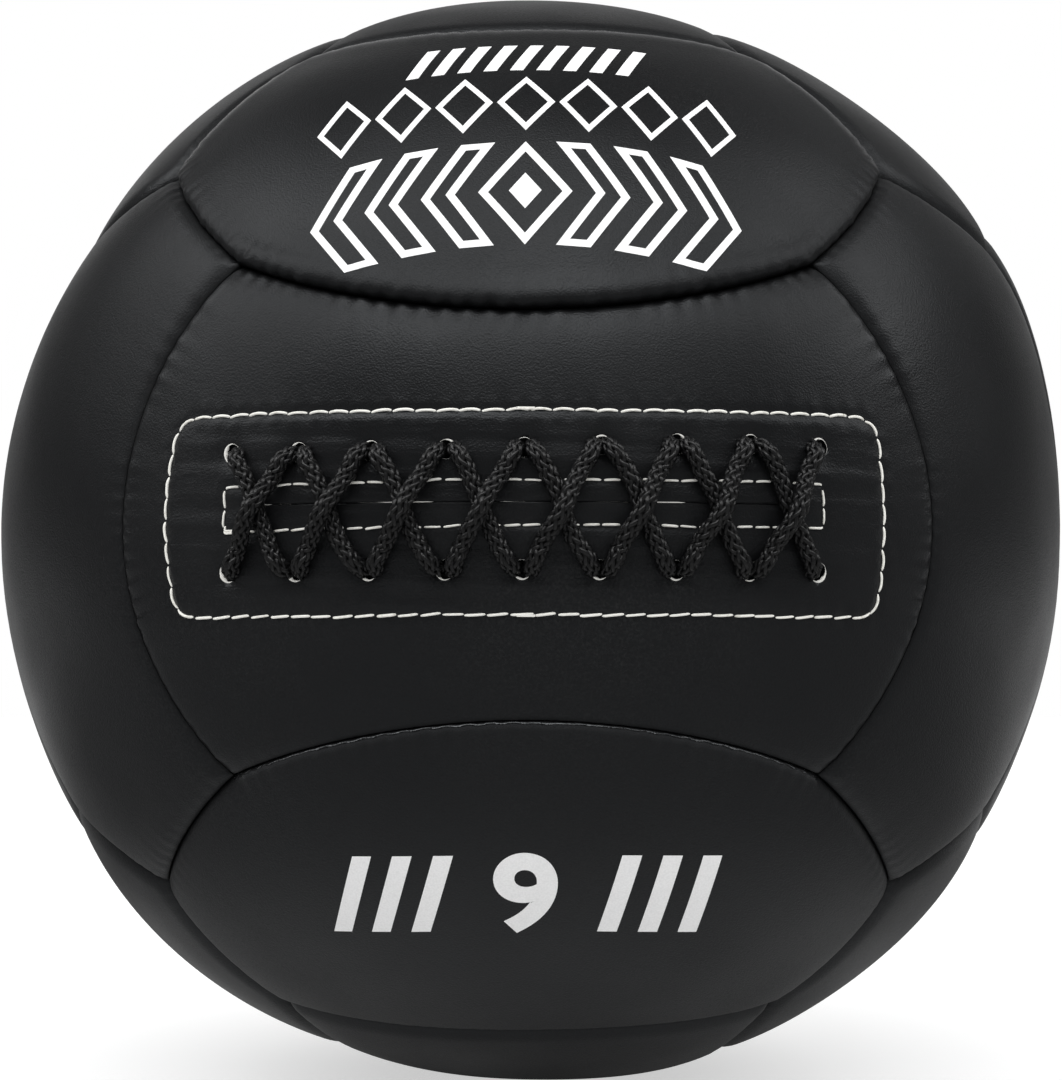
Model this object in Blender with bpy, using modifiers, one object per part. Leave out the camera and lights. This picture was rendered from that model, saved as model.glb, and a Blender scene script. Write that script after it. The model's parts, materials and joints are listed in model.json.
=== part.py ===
"""A laced soft medicine ball: eighteen padded cover panels, a laced opening at the front, and a stuffed core.

Metres, +Z up. The origin is the middle of the small flat that the ball rests on, and the lacing faces -Y.
The panels are laid out on a cube, three strips to a face, and are thrown out from there onto the ball.
"""

import math
from typing import NamedTuple

import bmesh
import bpy
import numpy as np

# The ball's outside
BALL_WIDTH = 0.349
BALL_DEPTH = 0.352
BALL_HEIGHT = 0.355
SQUARENESS = 2.12  # the exponent of the outside; 2 would be a true ellipsoid
REST_FLAT_DEPTH = 0.0012

# The cover: padded panels that are drawn in at their seams
SEAM_DEPTH = 0.004
SEAM_ROLL = 0.005  # how far from a seam the draw-in fades
SEAM_GAP = 0.0005
SEAM_SPREAD = 1.022  # how much further to the sides than on a cube the seams lie
SEAM_TAPER = 0.015  # how much less of that there is at the top, and more at the bottom
UPPER_STRETCH = 1.0135  # how much further up the seams of the upper half lie
LOWER_STRETCH = 1.027  # how much further down those of the lower half lie
UPPER_PUSH = 0.093  # how much nearer the ball's rim, seen from the front, the cube's upper corners lie
LOWER_PUSH = 0.160  # the same for its lower corners
EDGE_THICKNESS = 0.002

# The lacing on the front panel
LACE_HOLES = 9
LACE_PITCH = 0.0212
LACE_ROW_HEIGHT = 0.0174  # from the lacing's middle to a row of holes
LACE_DIAMETER = 0.0032
LACE_HOLE_WIDTH = 0.0084
LACE_HOLE_HEIGHT = 0.0078
LACE_SPREAD = 0.0019  # of the two strands in a hole, each from its middle
LACE_BEND = 0.0034  # how far from a hole a strand has turned onto the cover
LACE_END = 0.0062  # from the lacing's middle to the lace's two ends, at the knot
SLIT_LENGTH = 0.160
SLIT_WIDTH = 0.0010
SLIT_RISE = 0.0018  # of the slit and its stitching over the lacing's middle
FRONT_SKIN = 0.0030  # the front panel behind which the padding is left out
PATCH_THICKNESS = 0.0015
PATCH_MARGIN = 0.004  # of the patch beyond its stitching
STITCHED_WIDTH = 0.2126
STITCHED_HEIGHT = 0.0560
STITCHED_RADIUS = 0.0055
SLIT_STITCHED_WIDTH = 0.1716
SLIT_STITCHED_HEIGHT = 0.0124
SLIT_STITCHED_RADIUS = 0.0012
THREAD_DIAMETER = 0.0007
STITCH_STEP = 0.009  # between a stitching's points on its straights
TONGUE_WIDTH = 0.190
TONGUE_HEIGHT = 0.052
TONGUE_THICKNESS = 0.0015

# The inside, from the cover inwards
FOAM_THICKNESS = 0.010
FOAM_MOUTH_ANGLE = 14.0
LINER_THICKNESS = 0.0012
LINER_MOUTH_ANGLE = 16.0
FILL_CAVITY_RADIUS = 0.078
FILL_MOUTH_ANGLE = 20.0
WEIGHT_BAG_RADIUS = 0.066
WEIGHT_BAG_THICKNESS = 0.0012
WEIGHT_NECK_RADIUS = 0.009
WEIGHT_NECK_LENGTH = 0.006
TIE_DIAMETER = 0.0022

# Room between pieces
CLEARANCE = 0.0003  # between pieces that touch
STRAND_GAP = 0.0005  # between strands of the lace
COVER_GAP = 0.0025  # between the cover and the stuffing, whose flat facets don't match
LAYER_GAP = 0.0015  # between layers of the stuffing

# Stations along the seams. The close ones near an end shape the draw-in there.
CORNER_STATIONS = (0.0, 0.10, 0.37, 0.63, 0.90, 1.0)
END_STATIONS = (0.0, 0.09, 0.30, 0.50, 0.70, 0.91, 1.0)
LAYER_SEGMENTS = 16  # round the front axis, of the stuffing's layers
LAYER_RINGS = 14
CORNER_SHARE = 0.23  # of a strip's length, at each end, that runs along a corner seam

HALF_SIZES = np.array([BALL_WIDTH, BALL_DEPTH, BALL_HEIGHT]) / 2
FRONT_RADIUS = BALL_DEPTH / 2
CENTRE = np.array([0.0, 0.0, BALL_HEIGHT / 2 - REST_FLAT_DEPTH])

# Depths under the outside of the front panel, from the patch down to the floor of its pocket
PATCH_DEPTH = FRONT_SKIN + CLEARANCE
STRAND_DEPTH = PATCH_DEPTH + PATCH_THICKNESS + CLEARANCE + LACE_DIAMETER / 2
UNDER_STRAND_DEPTH = STRAND_DEPTH + LACE_DIAMETER + STRAND_GAP
TONGUE_DEPTH = UNDER_STRAND_DEPTH + LACE_DIAMETER / 2 + CLEARANCE
POCKET_DEPTH = TONGUE_DEPTH + TONGUE_THICKNESS + CLEARANCE

# Heights above the front panel
THREAD_HEIGHT = CLEARANCE + THREAD_DIAMETER / 2
STRAND_HEIGHT = CLEARANCE + THREAD_DIAMETER + CLEARANCE + LACE_DIAMETER / 2
OVER_STRAND_HEIGHT = STRAND_HEIGHT + LACE_DIAMETER + STRAND_GAP

# Depths of the layers under the cover
COVER_DEPTH = SEAM_DEPTH + EDGE_THICKNESS
FOAM_DEPTH = COVER_DEPTH + COVER_GAP
LINER_DEPTH = FOAM_DEPTH + FOAM_THICKNESS + LAYER_GAP
FILL_DEPTH = LINER_DEPTH + LINER_THICKNESS + LAYER_GAP


class Layout(NamedTuple):
    """A face's seams, in cube-face units: its middle is 0 and the cube's edge is 1."""

    reach: float  # how far the centre strip's bulged end reaches
    corner_along: float  # the centre strip's corner
    corner_across: float
    waist: float  # half the centre strip's width at its middle
    bow: float  # how far a corner seam bows sideways


LACED_LAYOUT = Layout(reach=0.845, corner_along=0.574, corner_across=0.511, waist=0.334, bow=-0.03)
TOP_LAYOUT = Layout(reach=0.630, corner_along=0.500, corner_across=0.476, waist=0.310, bow=0.02)
BOTTOM_LAYOUT = Layout(reach=0.610, corner_along=0.500, corner_across=0.522, waist=0.335, bow=0.03)
SIDE_LAYOUT = Layout(reach=0.740, corner_along=0.590, corner_across=0.370, waist=0.240, bow=0.03)


class Face(NamedTuple):
    """A face of the cube: its outward axis, the axis its strips run along, and the one across them."""

    name: str
    out: np.ndarray
    along: np.ndarray
    across: np.ndarray
    layout: Layout
    side_names: tuple  # of the strips towards -across and +across


X_AXIS, Y_AXIS, Z_AXIS = np.eye(3)
FACES = (
    Face("front", -Y_AXIS, X_AXIS, Z_AXIS, LACED_LAYOUT, ("lower", "upper")),
    Face("back", Y_AXIS, X_AXIS, Z_AXIS, LACED_LAYOUT, ("lower", "upper")),
    Face("top", Z_AXIS, Y_AXIS, X_AXIS, TOP_LAYOUT, ("left", "right")),
    Face("bottom", -Z_AXIS, Y_AXIS, X_AXIS, BOTTOM_LAYOUT, ("left", "right")),
    Face("left", -X_AXIS, Z_AXIS, Y_AXIS, SIDE_LAYOUT, ("front", "back")),
    Face("right", X_AXIS, Z_AXIS, Y_AXIS, SIDE_LAYOUT, ("front", "back")),
)


def unit(vectors):
    return vectors / np.linalg.norm(vectors, axis=-1, keepdims=True)


def direction(face, along, across):
    """The unit vector through a point of a cube face, spread sideways, up and down.

    The cube's corners are also pushed away from the front and the back, towards the ball's rim.
    """
    along, across = np.broadcast_arrays(along, across)
    way = face.out + along[..., None] * face.along + across[..., None] * face.across
    low = way[..., 2] < 0
    way[..., 1] *= 1 - np.where(low, LOWER_PUSH, UPPER_PUSH) * (way[..., 0] * way[..., 2]) ** 2
    way[..., 0] *= SEAM_SPREAD * (1 - SEAM_TAPER * way[..., 2])
    way[..., 2] *= np.where(low, LOWER_STRETCH, UPPER_STRETCH)
    return unit(way)


def inner_seam(face, side, t):
    """Between a centre strip and its neighbour: a parabola, nearest the middle of the face at its own middle."""
    layout, s = face.layout, 2 * t - 1
    return direction(
        face,
        s * layout.corner_along,
        side * (layout.waist + (layout.corner_across - layout.waist) * s**2),
    )


def end_seam(face, end, t):
    """The bulged end of a centre strip: a parabola, furthest out at its middle."""
    layout, s = face.layout, 2 * t - 1
    return direction(
        face,
        end * (layout.reach - (layout.reach - layout.corner_along) * s**2),
        s * layout.corner_across,
    )


def corner_seam(face, end, side, t):
    """From a centre strip's corner out to the cube's corner: a line with a slight bow."""
    layout = face.layout
    along = layout.corner_along + (1 - layout.corner_along) * t
    across = layout.corner_across + (1 - layout.corner_across) * t + layout.bow * 4 * t * (1 - t)
    return direction(face, end * along, side * across)


def strip_stations():
    """Stations along a strip: a corner seam, an end seam and a corner seam, as its outer side has them."""
    corner = np.array(CORNER_STATIONS) * CORNER_SHARE
    middle = CORNER_SHARE + np.array(END_STATIONS) * (1 - 2 * CORNER_SHARE)
    return np.concatenate([corner, middle[1:-1], (1 - corner)[::-1]])


def centre_strip(face):
    """(stations along, stations across, its south, north, west and east sides) of a face's centre strip."""
    u, v = strip_stations(), np.array(END_STATIONS)
    return u, v, (inner_seam(face, -1, u), inner_seam(face, 1, u), end_seam(face, -1, v), end_seam(face, 1, v))


def side_strip(face, side):
    """The same for the strip beside it, whose outer side is made of the next face's seams."""
    u, v = strip_stations(), np.array(CORNER_STATIONS)
    corner, end = np.array(CORNER_STATIONS), np.array(END_STATIONS)
    near = next(f for f in FACES if f.out @ face.across == side)
    facing = near.along @ face.out
    turn = near.across @ face.along
    outer = np.concatenate(
        [
            corner_seam(near, facing, -turn, corner[::-1]),
            end_seam(near, facing, end if turn > 0 else 1 - end)[1:-1],
            corner_seam(near, facing, turn, corner),
        ]
    )
    return u, v, (inner_seam(face, side, u), outer, corner_seam(face, -1, side, v), corner_seam(face, 1, side, v))


def fill_patch(u, v, sides):
    """Directions over a four-sided patch from its sides: the Coons rule, thrown out onto the unit sphere."""
    south, north, west, east = sides
    u, v = u[:, None, None], v[None, :, None]
    ruled = (1 - v) * south[:, None] + v * north[:, None] + (1 - u) * west[None] + u * east[None]
    corners = (1 - u) * ((1 - v) * south[0] + v * north[0]) + u * ((1 - v) * south[-1] + v * north[-1])
    return unit(ruled - corners)


def edge_loop(columns, rows):
    """The grid places round the edge of a patch, in order."""
    return (
        [(i, 0) for i in range(columns)]
        + [(columns, j) for j in range(rows)]
        + [(i, rows) for i in range(columns, 0, -1)]
        + [(0, j) for j in range(rows, 0, -1)]
    )


def outside_radius(directions):
    """Distance from the ball's centre to its outside: a superellipsoid of the three half sizes."""
    return (np.abs(directions / HALF_SIZES) ** SQUARENESS).sum(-1) ** (-1 / SQUARENESS)


def draw_in(directions, seam):
    """How deep the cover is drawn in: the full depth at the seam, fading with the distance from it."""
    nearest = np.linalg.norm(directions[:, :, None] - seam[None, None], axis=-1).min(-1)
    return SEAM_DEPTH * np.exp(-nearest * FRONT_RADIUS / SEAM_ROLL)


def pull_back(directions, places, distance):
    """Moves the edge of a patch inwards by a distance, mitred at its corners."""
    edge = np.array([directions[i, j] for i, j in places])
    run = unit(np.roll(edge, -1, axis=0) - edge)
    inward = np.cross(edge, run)
    inward *= np.sign((np.cross(edge, np.roll(edge, -1, axis=0)).sum(0) @ edge.mean(0)))
    before = np.roll(inward, 1, axis=0)
    mitre = (inward + before) / (1 + (inward * before).sum(-1, keepdims=True))
    moved = directions.copy()
    for (i, j), point in zip(places, unit(edge + mitre * distance / FRONT_RADIUS)):
        moved[i, j] = point
    return moved


def new_object(name, mesh_maker, material, collection):
    """Links a new object whose mesh comes from a filled bmesh."""
    mesh = bpy.data.meshes.new(name)
    bmesh.ops.recalc_face_normals(mesh_maker, faces=mesh_maker.faces)
    if mesh_maker.calc_volume(signed=True) < 0:
        bmesh.ops.reverse_faces(mesh_maker, faces=mesh_maker.faces)
    mesh_maker.to_mesh(mesh)
    mesh_maker.free()
    mesh.shade_smooth()
    mesh.set_sharp_from_angle(angle=math.radians(40))
    made = bpy.data.objects.new(name, mesh)
    collection.objects.link(made)
    if material:
        mesh.materials.append(material)
    return made


def slab(columns, rows):
    """A closed flat slab of grid cells. Its points lie at whole numbers, and its top is at height 1."""
    shape = bmesh.new()
    bmesh.ops.create_grid(shape, x_segments=columns, y_segments=rows, size=1)
    for vertex in shape.verts:
        x, y, _ = vertex.co
        vertex.co = ((x + 1) / 2 * columns, (y + 1) / 2 * rows, 0)
    top = bmesh.ops.duplicate(shape, geom=shape.verts[:] + shape.edges[:] + shape.faces[:])["geom"]
    bmesh.ops.translate(shape, verts=[g for g in top if isinstance(g, bmesh.types.BMVert)], vec=(0, 0, 1))
    rims = [edge for edge in shape.edges if edge.is_boundary]
    bmesh.ops.bridge_loops(shape, edges=rims)
    return shape


def bend_slab(shape, top, bottom):
    """Moves a slab's points to their places in two grids of points."""
    for vertex in shape.verts:
        i, j, layer = (round(c) for c in vertex.co)
        vertex.co = (top if layer else bottom)[i, j]


def cover_panel(name, strip, material, collection):
    """A padded panel: crowned outside, drawn in at its seams, smooth inside."""
    u, v, sides = strip
    columns, rows = len(u) - 1, len(v) - 1
    places = edge_loop(columns, rows)
    patch = fill_patch(u, v, sides)
    seam = np.array([patch[i, j] for i, j in places])
    fine_seam = np.concatenate([seam * (1 - k) + np.roll(seam, -1, axis=0) * k for k in (0, 0.25, 0.5, 0.75)])
    sunk = draw_in(patch, fine_seam)[..., None]
    patch = pull_back(patch, places, SEAM_GAP / 2)
    radius = outside_radius(patch)[..., None]
    outside = CENTRE + patch * (radius - sunk)
    shape = slab(columns, rows)
    bend_slab(shape, outside, CENTRE + patch * (radius - COVER_DEPTH))
    return new_object(name, shape, material, collection)


def front_point(across, up, height):
    """A point over the front panel: distances along it from its middle, and a height above the ball's outside."""
    turn, tilt = across / FRONT_RADIUS, up / FRONT_RADIUS
    way = np.array([math.sin(turn) * math.cos(tilt), -math.cos(turn) * math.cos(tilt), math.sin(tilt)])
    return CENTRE + way * (outside_radius(way) + height)


def front_sheet(name, width, height, top, bottom, cells, material, collection):
    """A sheet that follows the front panel, between two heights over the ball's outside."""
    columns, rows = cells
    shape = slab(columns, rows)
    for vertex in shape.verts:
        i, j, layer = vertex.co
        vertex.co = front_point(
            (i / columns - 0.5) * width,
            (j / rows - 0.5) * height,
            top if layer > 0.5 else bottom,
        )
    return new_object(name, shape, material, collection)


def hole_place(column):
    """How far a column of lace holes lies from the middle of the lacing."""
    return (column - (LACE_HOLES - 1) / 2) * LACE_PITCH


def lacing_cutter(collection):
    """Prisms through the front at every lace hole, ovals filled out at their corners, and one along the slit."""
    shape = bmesh.new()
    reach = POCKET_DEPTH
    for column in range(LACE_HOLES):
        for row in (-1, 1):
            made = bmesh.ops.create_cone(
                shape, cap_ends=True, segments=10, radius1=1, radius2=1, depth=2 * reach
            )
            for vertex in made["verts"]:
                x, y, z = vertex.co
                x, y = (math.copysign(abs(c) ** 0.6, c) for c in (x, y))
                vertex.co = front_point(
                    hole_place(column) + x * LACE_HOLE_WIDTH / 2,
                    row * LACE_ROW_HEIGHT + y * LACE_HOLE_HEIGHT / 2,
                    z,
                )
    slit = slab(8, 1)
    for vertex in slit.verts:
        i, j, layer = vertex.co
        vertex.co = front_point(
            (i / 8 - 0.5) * SLIT_LENGTH,
            SLIT_RISE + (j - 0.5) * SLIT_WIDTH,
            (2 * layer - 1) * reach,
        )
    holder = bpy.data.meshes.new("slit")
    slit.to_mesh(holder)
    slit.free()
    shape.from_mesh(holder)
    bpy.data.meshes.remove(holder)
    return helper(new_object("lacing_cutter", shape, None, collection))


def pocket_cutter(collection):
    """The room behind the front skin for the patch, the lace's inner runs and the tongue."""
    margin = 2 * (PATCH_MARGIN + CLEARANCE)
    return helper(
        front_sheet(
            "pocket_cutter",
            STITCHED_WIDTH + margin,
            STITCHED_HEIGHT + margin,
            -FRONT_SKIN,
            -POCKET_DEPTH,
            (16, 4),
            None,
            collection,
        )
    )


def floor_cutter(collection):
    """The floor that the ball is pressed flat on."""
    shape = bmesh.new()
    bmesh.ops.create_cube(shape, size=BALL_WIDTH / 2)
    bmesh.ops.translate(shape, verts=shape.verts, vec=(0, 0, -BALL_WIDTH / 4))
    return helper(new_object("floor_cutter", shape, None, collection))


def helper(cutter):
    """Marks an object as a tool that isn't part of the ball."""
    cutter.hide_render = True
    cutter.display_type = "WIRE"
    return cutter


def cut(target, cutter):
    modifier = target.modifiers.new("cut_" + cutter.name, "BOOLEAN")
    modifier.operation = "DIFFERENCE"
    modifier.object = cutter


def smooth_path(knots, steps):
    """A Catmull-Rom curve through the knots, with that many steps from each knot to the next."""
    knots = [np.array(k, float) for k in knots]
    ends = [2 * knots[0] - knots[1], *knots, 2 * knots[-1] - knots[-2]]
    path = []
    for k, count in enumerate(steps):
        a, b, c, d = ends[k : k + 4]
        for t in np.arange(count) / count:
            path.append(
                0.5 * (2 * b + (c - a) * t + (2 * a - 5 * b + 4 * c - d) * t**2 + (3 * b - a - 3 * c + d) * t**3)
            )
    return path + [knots[-1]]


def outer_pass(start, finish, over):
    """A strand over the cover, from one hole to another. Each knot is across, up and height."""
    start, finish = np.array(start), np.array(finish)
    run = (finish - start) / np.linalg.norm(finish - start)
    middle = (start + finish) / 2
    top = OVER_STRAND_HEIGHT if over else STRAND_HEIGHT
    beside = LACE_DIAMETER * 1.7
    knots = [
        (*(start + run * LACE_BEND), STRAND_HEIGHT),
        (*(middle - run * beside), (top + STRAND_HEIGHT) / 2),
        (*middle, top),
        (*(middle + run * beside), (top + STRAND_HEIGHT) / 2),
        (*(finish - run * LACE_BEND), STRAND_HEIGHT),
    ]
    return knots


def inner_pass(start, finish, under):
    """A strand under the patch, from the hole it goes into to the one it comes out of."""
    start, finish = np.array(start), np.array(finish)
    run = (finish - start) / np.linalg.norm(finish - start)
    low = UNDER_STRAND_DEPTH if under else STRAND_DEPTH
    bends = (start + run * LACE_BEND, (start + finish) / 2, finish - run * LACE_BEND)
    return [(*bend, -low) for bend in bends]


def lace_knots():
    """The whole lace: from its knot at the right it crosses the lacing to the left, turns there and comes back."""
    mid_skin = -(FRONT_SKIN + PATCH_THICKNESS) / 2
    last = LACE_HOLES - 1

    def hole(column, row, side):
        return (hole_place(column) + side * LACE_SPREAD, row * LACE_ROW_HEIGHT)

    start = hole(last, 1, -1)
    knots = [(start[0], LACE_END, -STRAND_DEPTH), (start[0], start[1] - LACE_BEND, -STRAND_DEPTH)]
    knots.append((*start, mid_skin))
    for column in range(last, 0, -1):
        into = hole(column - 1, -1, 1)
        knots += outer_pass(hole(column, 1, -1), into, True)
        knots.append((*into, mid_skin))
        side = -1 if column > 1 else 1
        out = hole(column - 1, 1, side)
        knots += inner_pass(into, out, column > 1)
        knots.append((*out, mid_skin))
    for column in range(last):
        into = hole(column + 1, -1, -1)
        knots += outer_pass(hole(column, 1, 1), into, False)
        knots.append((*into, mid_skin))
        if column + 1 < last:
            out = hole(column + 1, 1, 1)
            knots += inner_pass(into, out, False)
            knots.append((*out, mid_skin))
    stop = hole(last, -1, -1)
    knots += [(stop[0], stop[1] + LACE_BEND, -STRAND_DEPTH), (stop[0], -LACE_END, -STRAND_DEPTH)]
    return knots


def tube(name, points, diameter, closed, resolution, material, collection):
    """A round tube along points, with filled ends unless it closes on itself."""
    curve = bpy.data.curves.new(name, "CURVE")
    curve.dimensions = "3D"
    curve.bevel_depth = diameter / 2
    curve.bevel_resolution = resolution
    curve.use_fill_caps = not closed
    spline = curve.splines.new("POLY")
    spline.points.add(len(points) - 1)
    for spot, point in zip(spline.points, points):
        spot.co = (*point, 1)
    spline.use_cyclic_u = closed
    spline.use_smooth = True
    made = bpy.data.objects.new(name, curve)
    collection.objects.link(made)
    curve.materials.append(material)
    return made


def least_gap(points, diameter):
    """The least gap of a tube to itself, measured between points that aren't neighbours along it."""
    points = np.array(points)
    steps = np.linalg.norm(np.diff(points, axis=0), axis=1)
    place = np.concatenate([[0], np.cumsum(steps)])
    apart = np.abs(place[:, None] - place[None]) > 4 * diameter
    distances = np.linalg.norm(points[:, None] - points[None], axis=-1)
    return distances[apart].min() - diameter


def lace(material, collection):
    knots = lace_knots()
    lies_in_hole = [-STRAND_DEPTH < k[2] < 0 for k in knots]
    steps = [2 if lies_in_hole[k] or lies_in_hole[k + 1] else 1 for k in range(len(knots) - 1)]
    points = [front_point(*p) for p in smooth_path(knots, steps)]
    print(f"lace: least gap to itself {least_gap(points, LACE_DIAMETER) * 1000:.2f} mm")
    return tube("lace", points, LACE_DIAMETER, False, 1, material, collection)


def lace_knot(material, collection):
    """The lace's two ends are tied in a knot behind the last pair of holes."""
    shape = bmesh.new()
    bmesh.ops.create_uvsphere(shape, u_segments=10, v_segments=6, radius=1)
    half = (LACE_DIAMETER * 1.3, LACE_END - CLEARANCE, LACE_DIAMETER)
    for vertex in shape.verts:
        x, y, z = (c * h for c, h in zip(vertex.co, half))
        vertex.co = front_point(hole_place(LACE_HOLES - 1) - LACE_SPREAD + x, y, z - STRAND_DEPTH - LACE_DIAMETER / 2)
    return new_object("lace_knot", shape, material, collection)


def stitch_loop(name, width, height, radius, rise, material, collection):
    """A thread round a rectangle with rounded corners, laid on the front panel a rise above the lacing's middle."""
    points = []
    corners = ((1, 1, 0), (-1, 1, 90), (-1, -1, 180), (1, -1, 270))
    for (sx, sy, begin), (tx, ty, _) in zip(corners, corners[1:] + corners[:1]):
        centre = (sx * (width / 2 - radius), sy * (height / 2 - radius))
        for turn in (0, 45, 90):
            a = math.radians(begin + turn)
            points.append((centre[0] + radius * math.cos(a), centre[1] + radius * math.sin(a)))
        finish_centre = (tx * (width / 2 - radius), ty * (height / 2 - radius))
        finish_angle = math.radians(begin + 90)
        finish = (
            finish_centre[0] + radius * math.cos(finish_angle),
            finish_centre[1] + radius * math.sin(finish_angle),
        )
        count = max(1, round(math.dist(points[-1], finish) / STITCH_STEP))
        begin_point = points[-1]
        for k in range(1, count):
            points.append(tuple(p + (q - p) * k / count for p, q in zip(begin_point, finish)))
    laid = [front_point(x, y + rise, THREAD_HEIGHT) for x, y in points]
    return tube(name, laid, THREAD_DIAMETER, True, 0, material, collection)


def mouth_sheet(mouth, plug):
    """A unit sphere facing the front, open inside the mouth's angle, or only the cap that closes that mouth."""
    shape = bmesh.new()
    bmesh.ops.create_uvsphere(shape, u_segments=LAYER_SEGMENTS, v_segments=LAYER_RINGS, radius=1)
    step = math.pi / LAYER_RINGS
    rim = round(mouth / step) * step
    room = (LAYER_GAP / FRONT_RADIUS) if plug else 0
    for vertex in shape.verts:
        x, y, z = vertex.co
        angle = math.acos(max(-1, min(1, z)))
        if abs(angle - rim) < step / 4:
            angle = mouth - room
        spin = math.atan2(y, x)
        vertex.co = (math.sin(angle) * math.cos(spin), -math.cos(angle), math.sin(angle) * math.sin(spin))
    limit = -math.cos(mouth)
    unwanted = [f for f in shape.faces if (f.calc_center_median().y < limit * 0.999) != plug]
    bmesh.ops.delete(shape, geom=unwanted, context="FACES")
    return shape


def round_layer(name, depth, inside, mouth_angle, plug, material, collection):
    """A layer of the stuffing, or the plug of its mouth, from a depth in to the radius that inside() gives."""
    shape = mouth_sheet(math.radians(mouth_angle), plug)
    inner = bmesh.ops.duplicate(shape, geom=shape.verts[:] + shape.edges[:] + shape.faces[:])["geom"]
    for vertex in [g for g in inner if isinstance(g, bmesh.types.BMVert)]:
        vertex.co *= 0.5
    bmesh.ops.bridge_loops(shape, edges=[edge for edge in shape.edges if edge.is_boundary])
    for vertex in shape.verts:
        on_outside = vertex.co.length > 0.75
        way = unit(np.array(vertex.co))
        radius = outside_radius(way)
        vertex.co = CENTRE + way * (radius - depth if on_outside else inside(radius))
    return new_object(name, shape, material, collection)


def turned(name, profile, steps, material, collection):
    """A turned shape on the ball's upright axis, from a profile of radius and height above the centre."""
    mesh = bpy.data.meshes.new(name)
    mesh.from_pydata([(r, 0, z) for r, z in profile], [(k, k + 1) for k in range(len(profile) - 1)], [])
    made = bpy.data.objects.new(name, mesh)
    made.location = CENTRE
    collection.objects.link(made)
    mesh.materials.append(material)
    screw = made.modifiers.new("turn", "SCREW")
    screw.steps = steps
    screw.render_steps = steps
    screw.use_normal_flip = True
    screw.use_merge_vertices = True
    screw.merge_threshold = 0.00001
    return made


def bag_profile(bulb, neck):
    """The outline of a tied bag, from the rim of its neck down to its bottom: a short neck on a round bulb."""
    shoulder = math.asin(neck / bulb) + 0.12
    top = bulb * math.cos(shoulder)
    arc = [(bulb * math.sin(a), bulb * math.cos(a)) for a in np.linspace(shoulder, math.pi, 10)]
    arc[-1] = (0.0, -bulb)
    rim = WEIGHT_BAG_RADIUS + WEIGHT_NECK_LENGTH
    return [(neck * 1.15, rim), (neck, (rim + top) / 2), *arc]


def weight_bag(material, collection):
    outline = bag_profile(WEIGHT_BAG_RADIUS, WEIGHT_NECK_RADIUS)
    lining = bag_profile(WEIGHT_BAG_RADIUS - WEIGHT_BAG_THICKNESS, WEIGHT_NECK_RADIUS - WEIGHT_BAG_THICKNESS)
    return turned("weight_bag", outline[::-1] + lining, 20, material, collection)


def weight_fill(material, collection):
    """The sand and shot, a ball inside the bag up to the foot of its neck."""
    radius = WEIGHT_BAG_RADIUS - WEIGHT_BAG_THICKNESS - LAYER_GAP
    shape = bmesh.new()
    bmesh.ops.create_uvsphere(shape, u_segments=20, v_segments=12, radius=radius)
    for vertex in shape.verts:
        vertex.co.z = min(vertex.co.z, radius * math.cos(0.45))
    bmesh.ops.translate(shape, verts=shape.verts, vec=tuple(CENTRE))
    return new_object("weight_fill", shape, material, collection)


def bag_tie(material, collection):
    """A turn of cord that closes the neck of the weight bag."""
    ring = WEIGHT_NECK_RADIUS * 1.15 + TIE_DIAMETER / 2 + CLEARANCE
    height = WEIGHT_BAG_RADIUS + WEIGHT_NECK_LENGTH / 2
    turns = np.linspace(0, 2 * math.pi, 16, endpoint=False)
    points = [CENTRE + np.array([ring * math.cos(a), ring * math.sin(a), height]) for a in turns]
    return tube("bag_tie", points, TIE_DIAMETER, True, 1, material, collection)


def surface(name, colour, roughness):
    material = bpy.data.materials.new(name)
    material.use_nodes = True
    shader = material.node_tree.nodes["Principled BSDF"]
    shader.inputs["Base Color"].default_value = (*colour, 1)
    shader.inputs["Roughness"].default_value = roughness
    shader.inputs["Metallic"].default_value = 0
    material.diffuse_color = (*colour, 1)
    return material


def build_cover(vinyl, collection):
    """All eighteen panels, by name."""
    panels = {}
    for face in FACES:
        centre_name = face.name + "_panel"
        panels[centre_name] = cover_panel(centre_name, centre_strip(face), vinyl, collection)
        for side, side_name in zip((-1, 1), face.side_names):
            name = f"{face.name}_{side_name}_panel"
            panels[name] = cover_panel(name, side_strip(face, side), vinyl, collection)
    return panels


def build_lacing(front_panel, cutters, vinyl, cord, thread, collection):
    """The opening in the front panel: its patch, tongue, stitching and lace."""
    holes = lacing_cutter(cutters)
    cut(front_panel, pocket_cutter(cutters))
    cut(front_panel, holes)
    patch = front_sheet(
        "lacing_patch",
        STITCHED_WIDTH + 2 * PATCH_MARGIN,
        STITCHED_HEIGHT + 2 * PATCH_MARGIN,
        -PATCH_DEPTH,
        -PATCH_DEPTH - PATCH_THICKNESS,
        (16, 4),
        vinyl,
        collection,
    )
    cut(patch, holes)
    front_sheet(
        "tongue",
        TONGUE_WIDTH,
        TONGUE_HEIGHT,
        -TONGUE_DEPTH,
        -TONGUE_DEPTH - TONGUE_THICKNESS,
        (14, 3),
        vinyl,
        collection,
    )
    lace(cord, collection)
    lace_knot(cord, collection)
    stitch_loop(
        "patch_stitching", STITCHED_WIDTH, STITCHED_HEIGHT, STITCHED_RADIUS, 0, thread, collection
    )
    stitch_loop(
        "slit_stitching",
        SLIT_STITCHED_WIDTH,
        SLIT_STITCHED_HEIGHT,
        SLIT_STITCHED_RADIUS,
        SLIT_RISE,
        thread,
        collection,
    )


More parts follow.
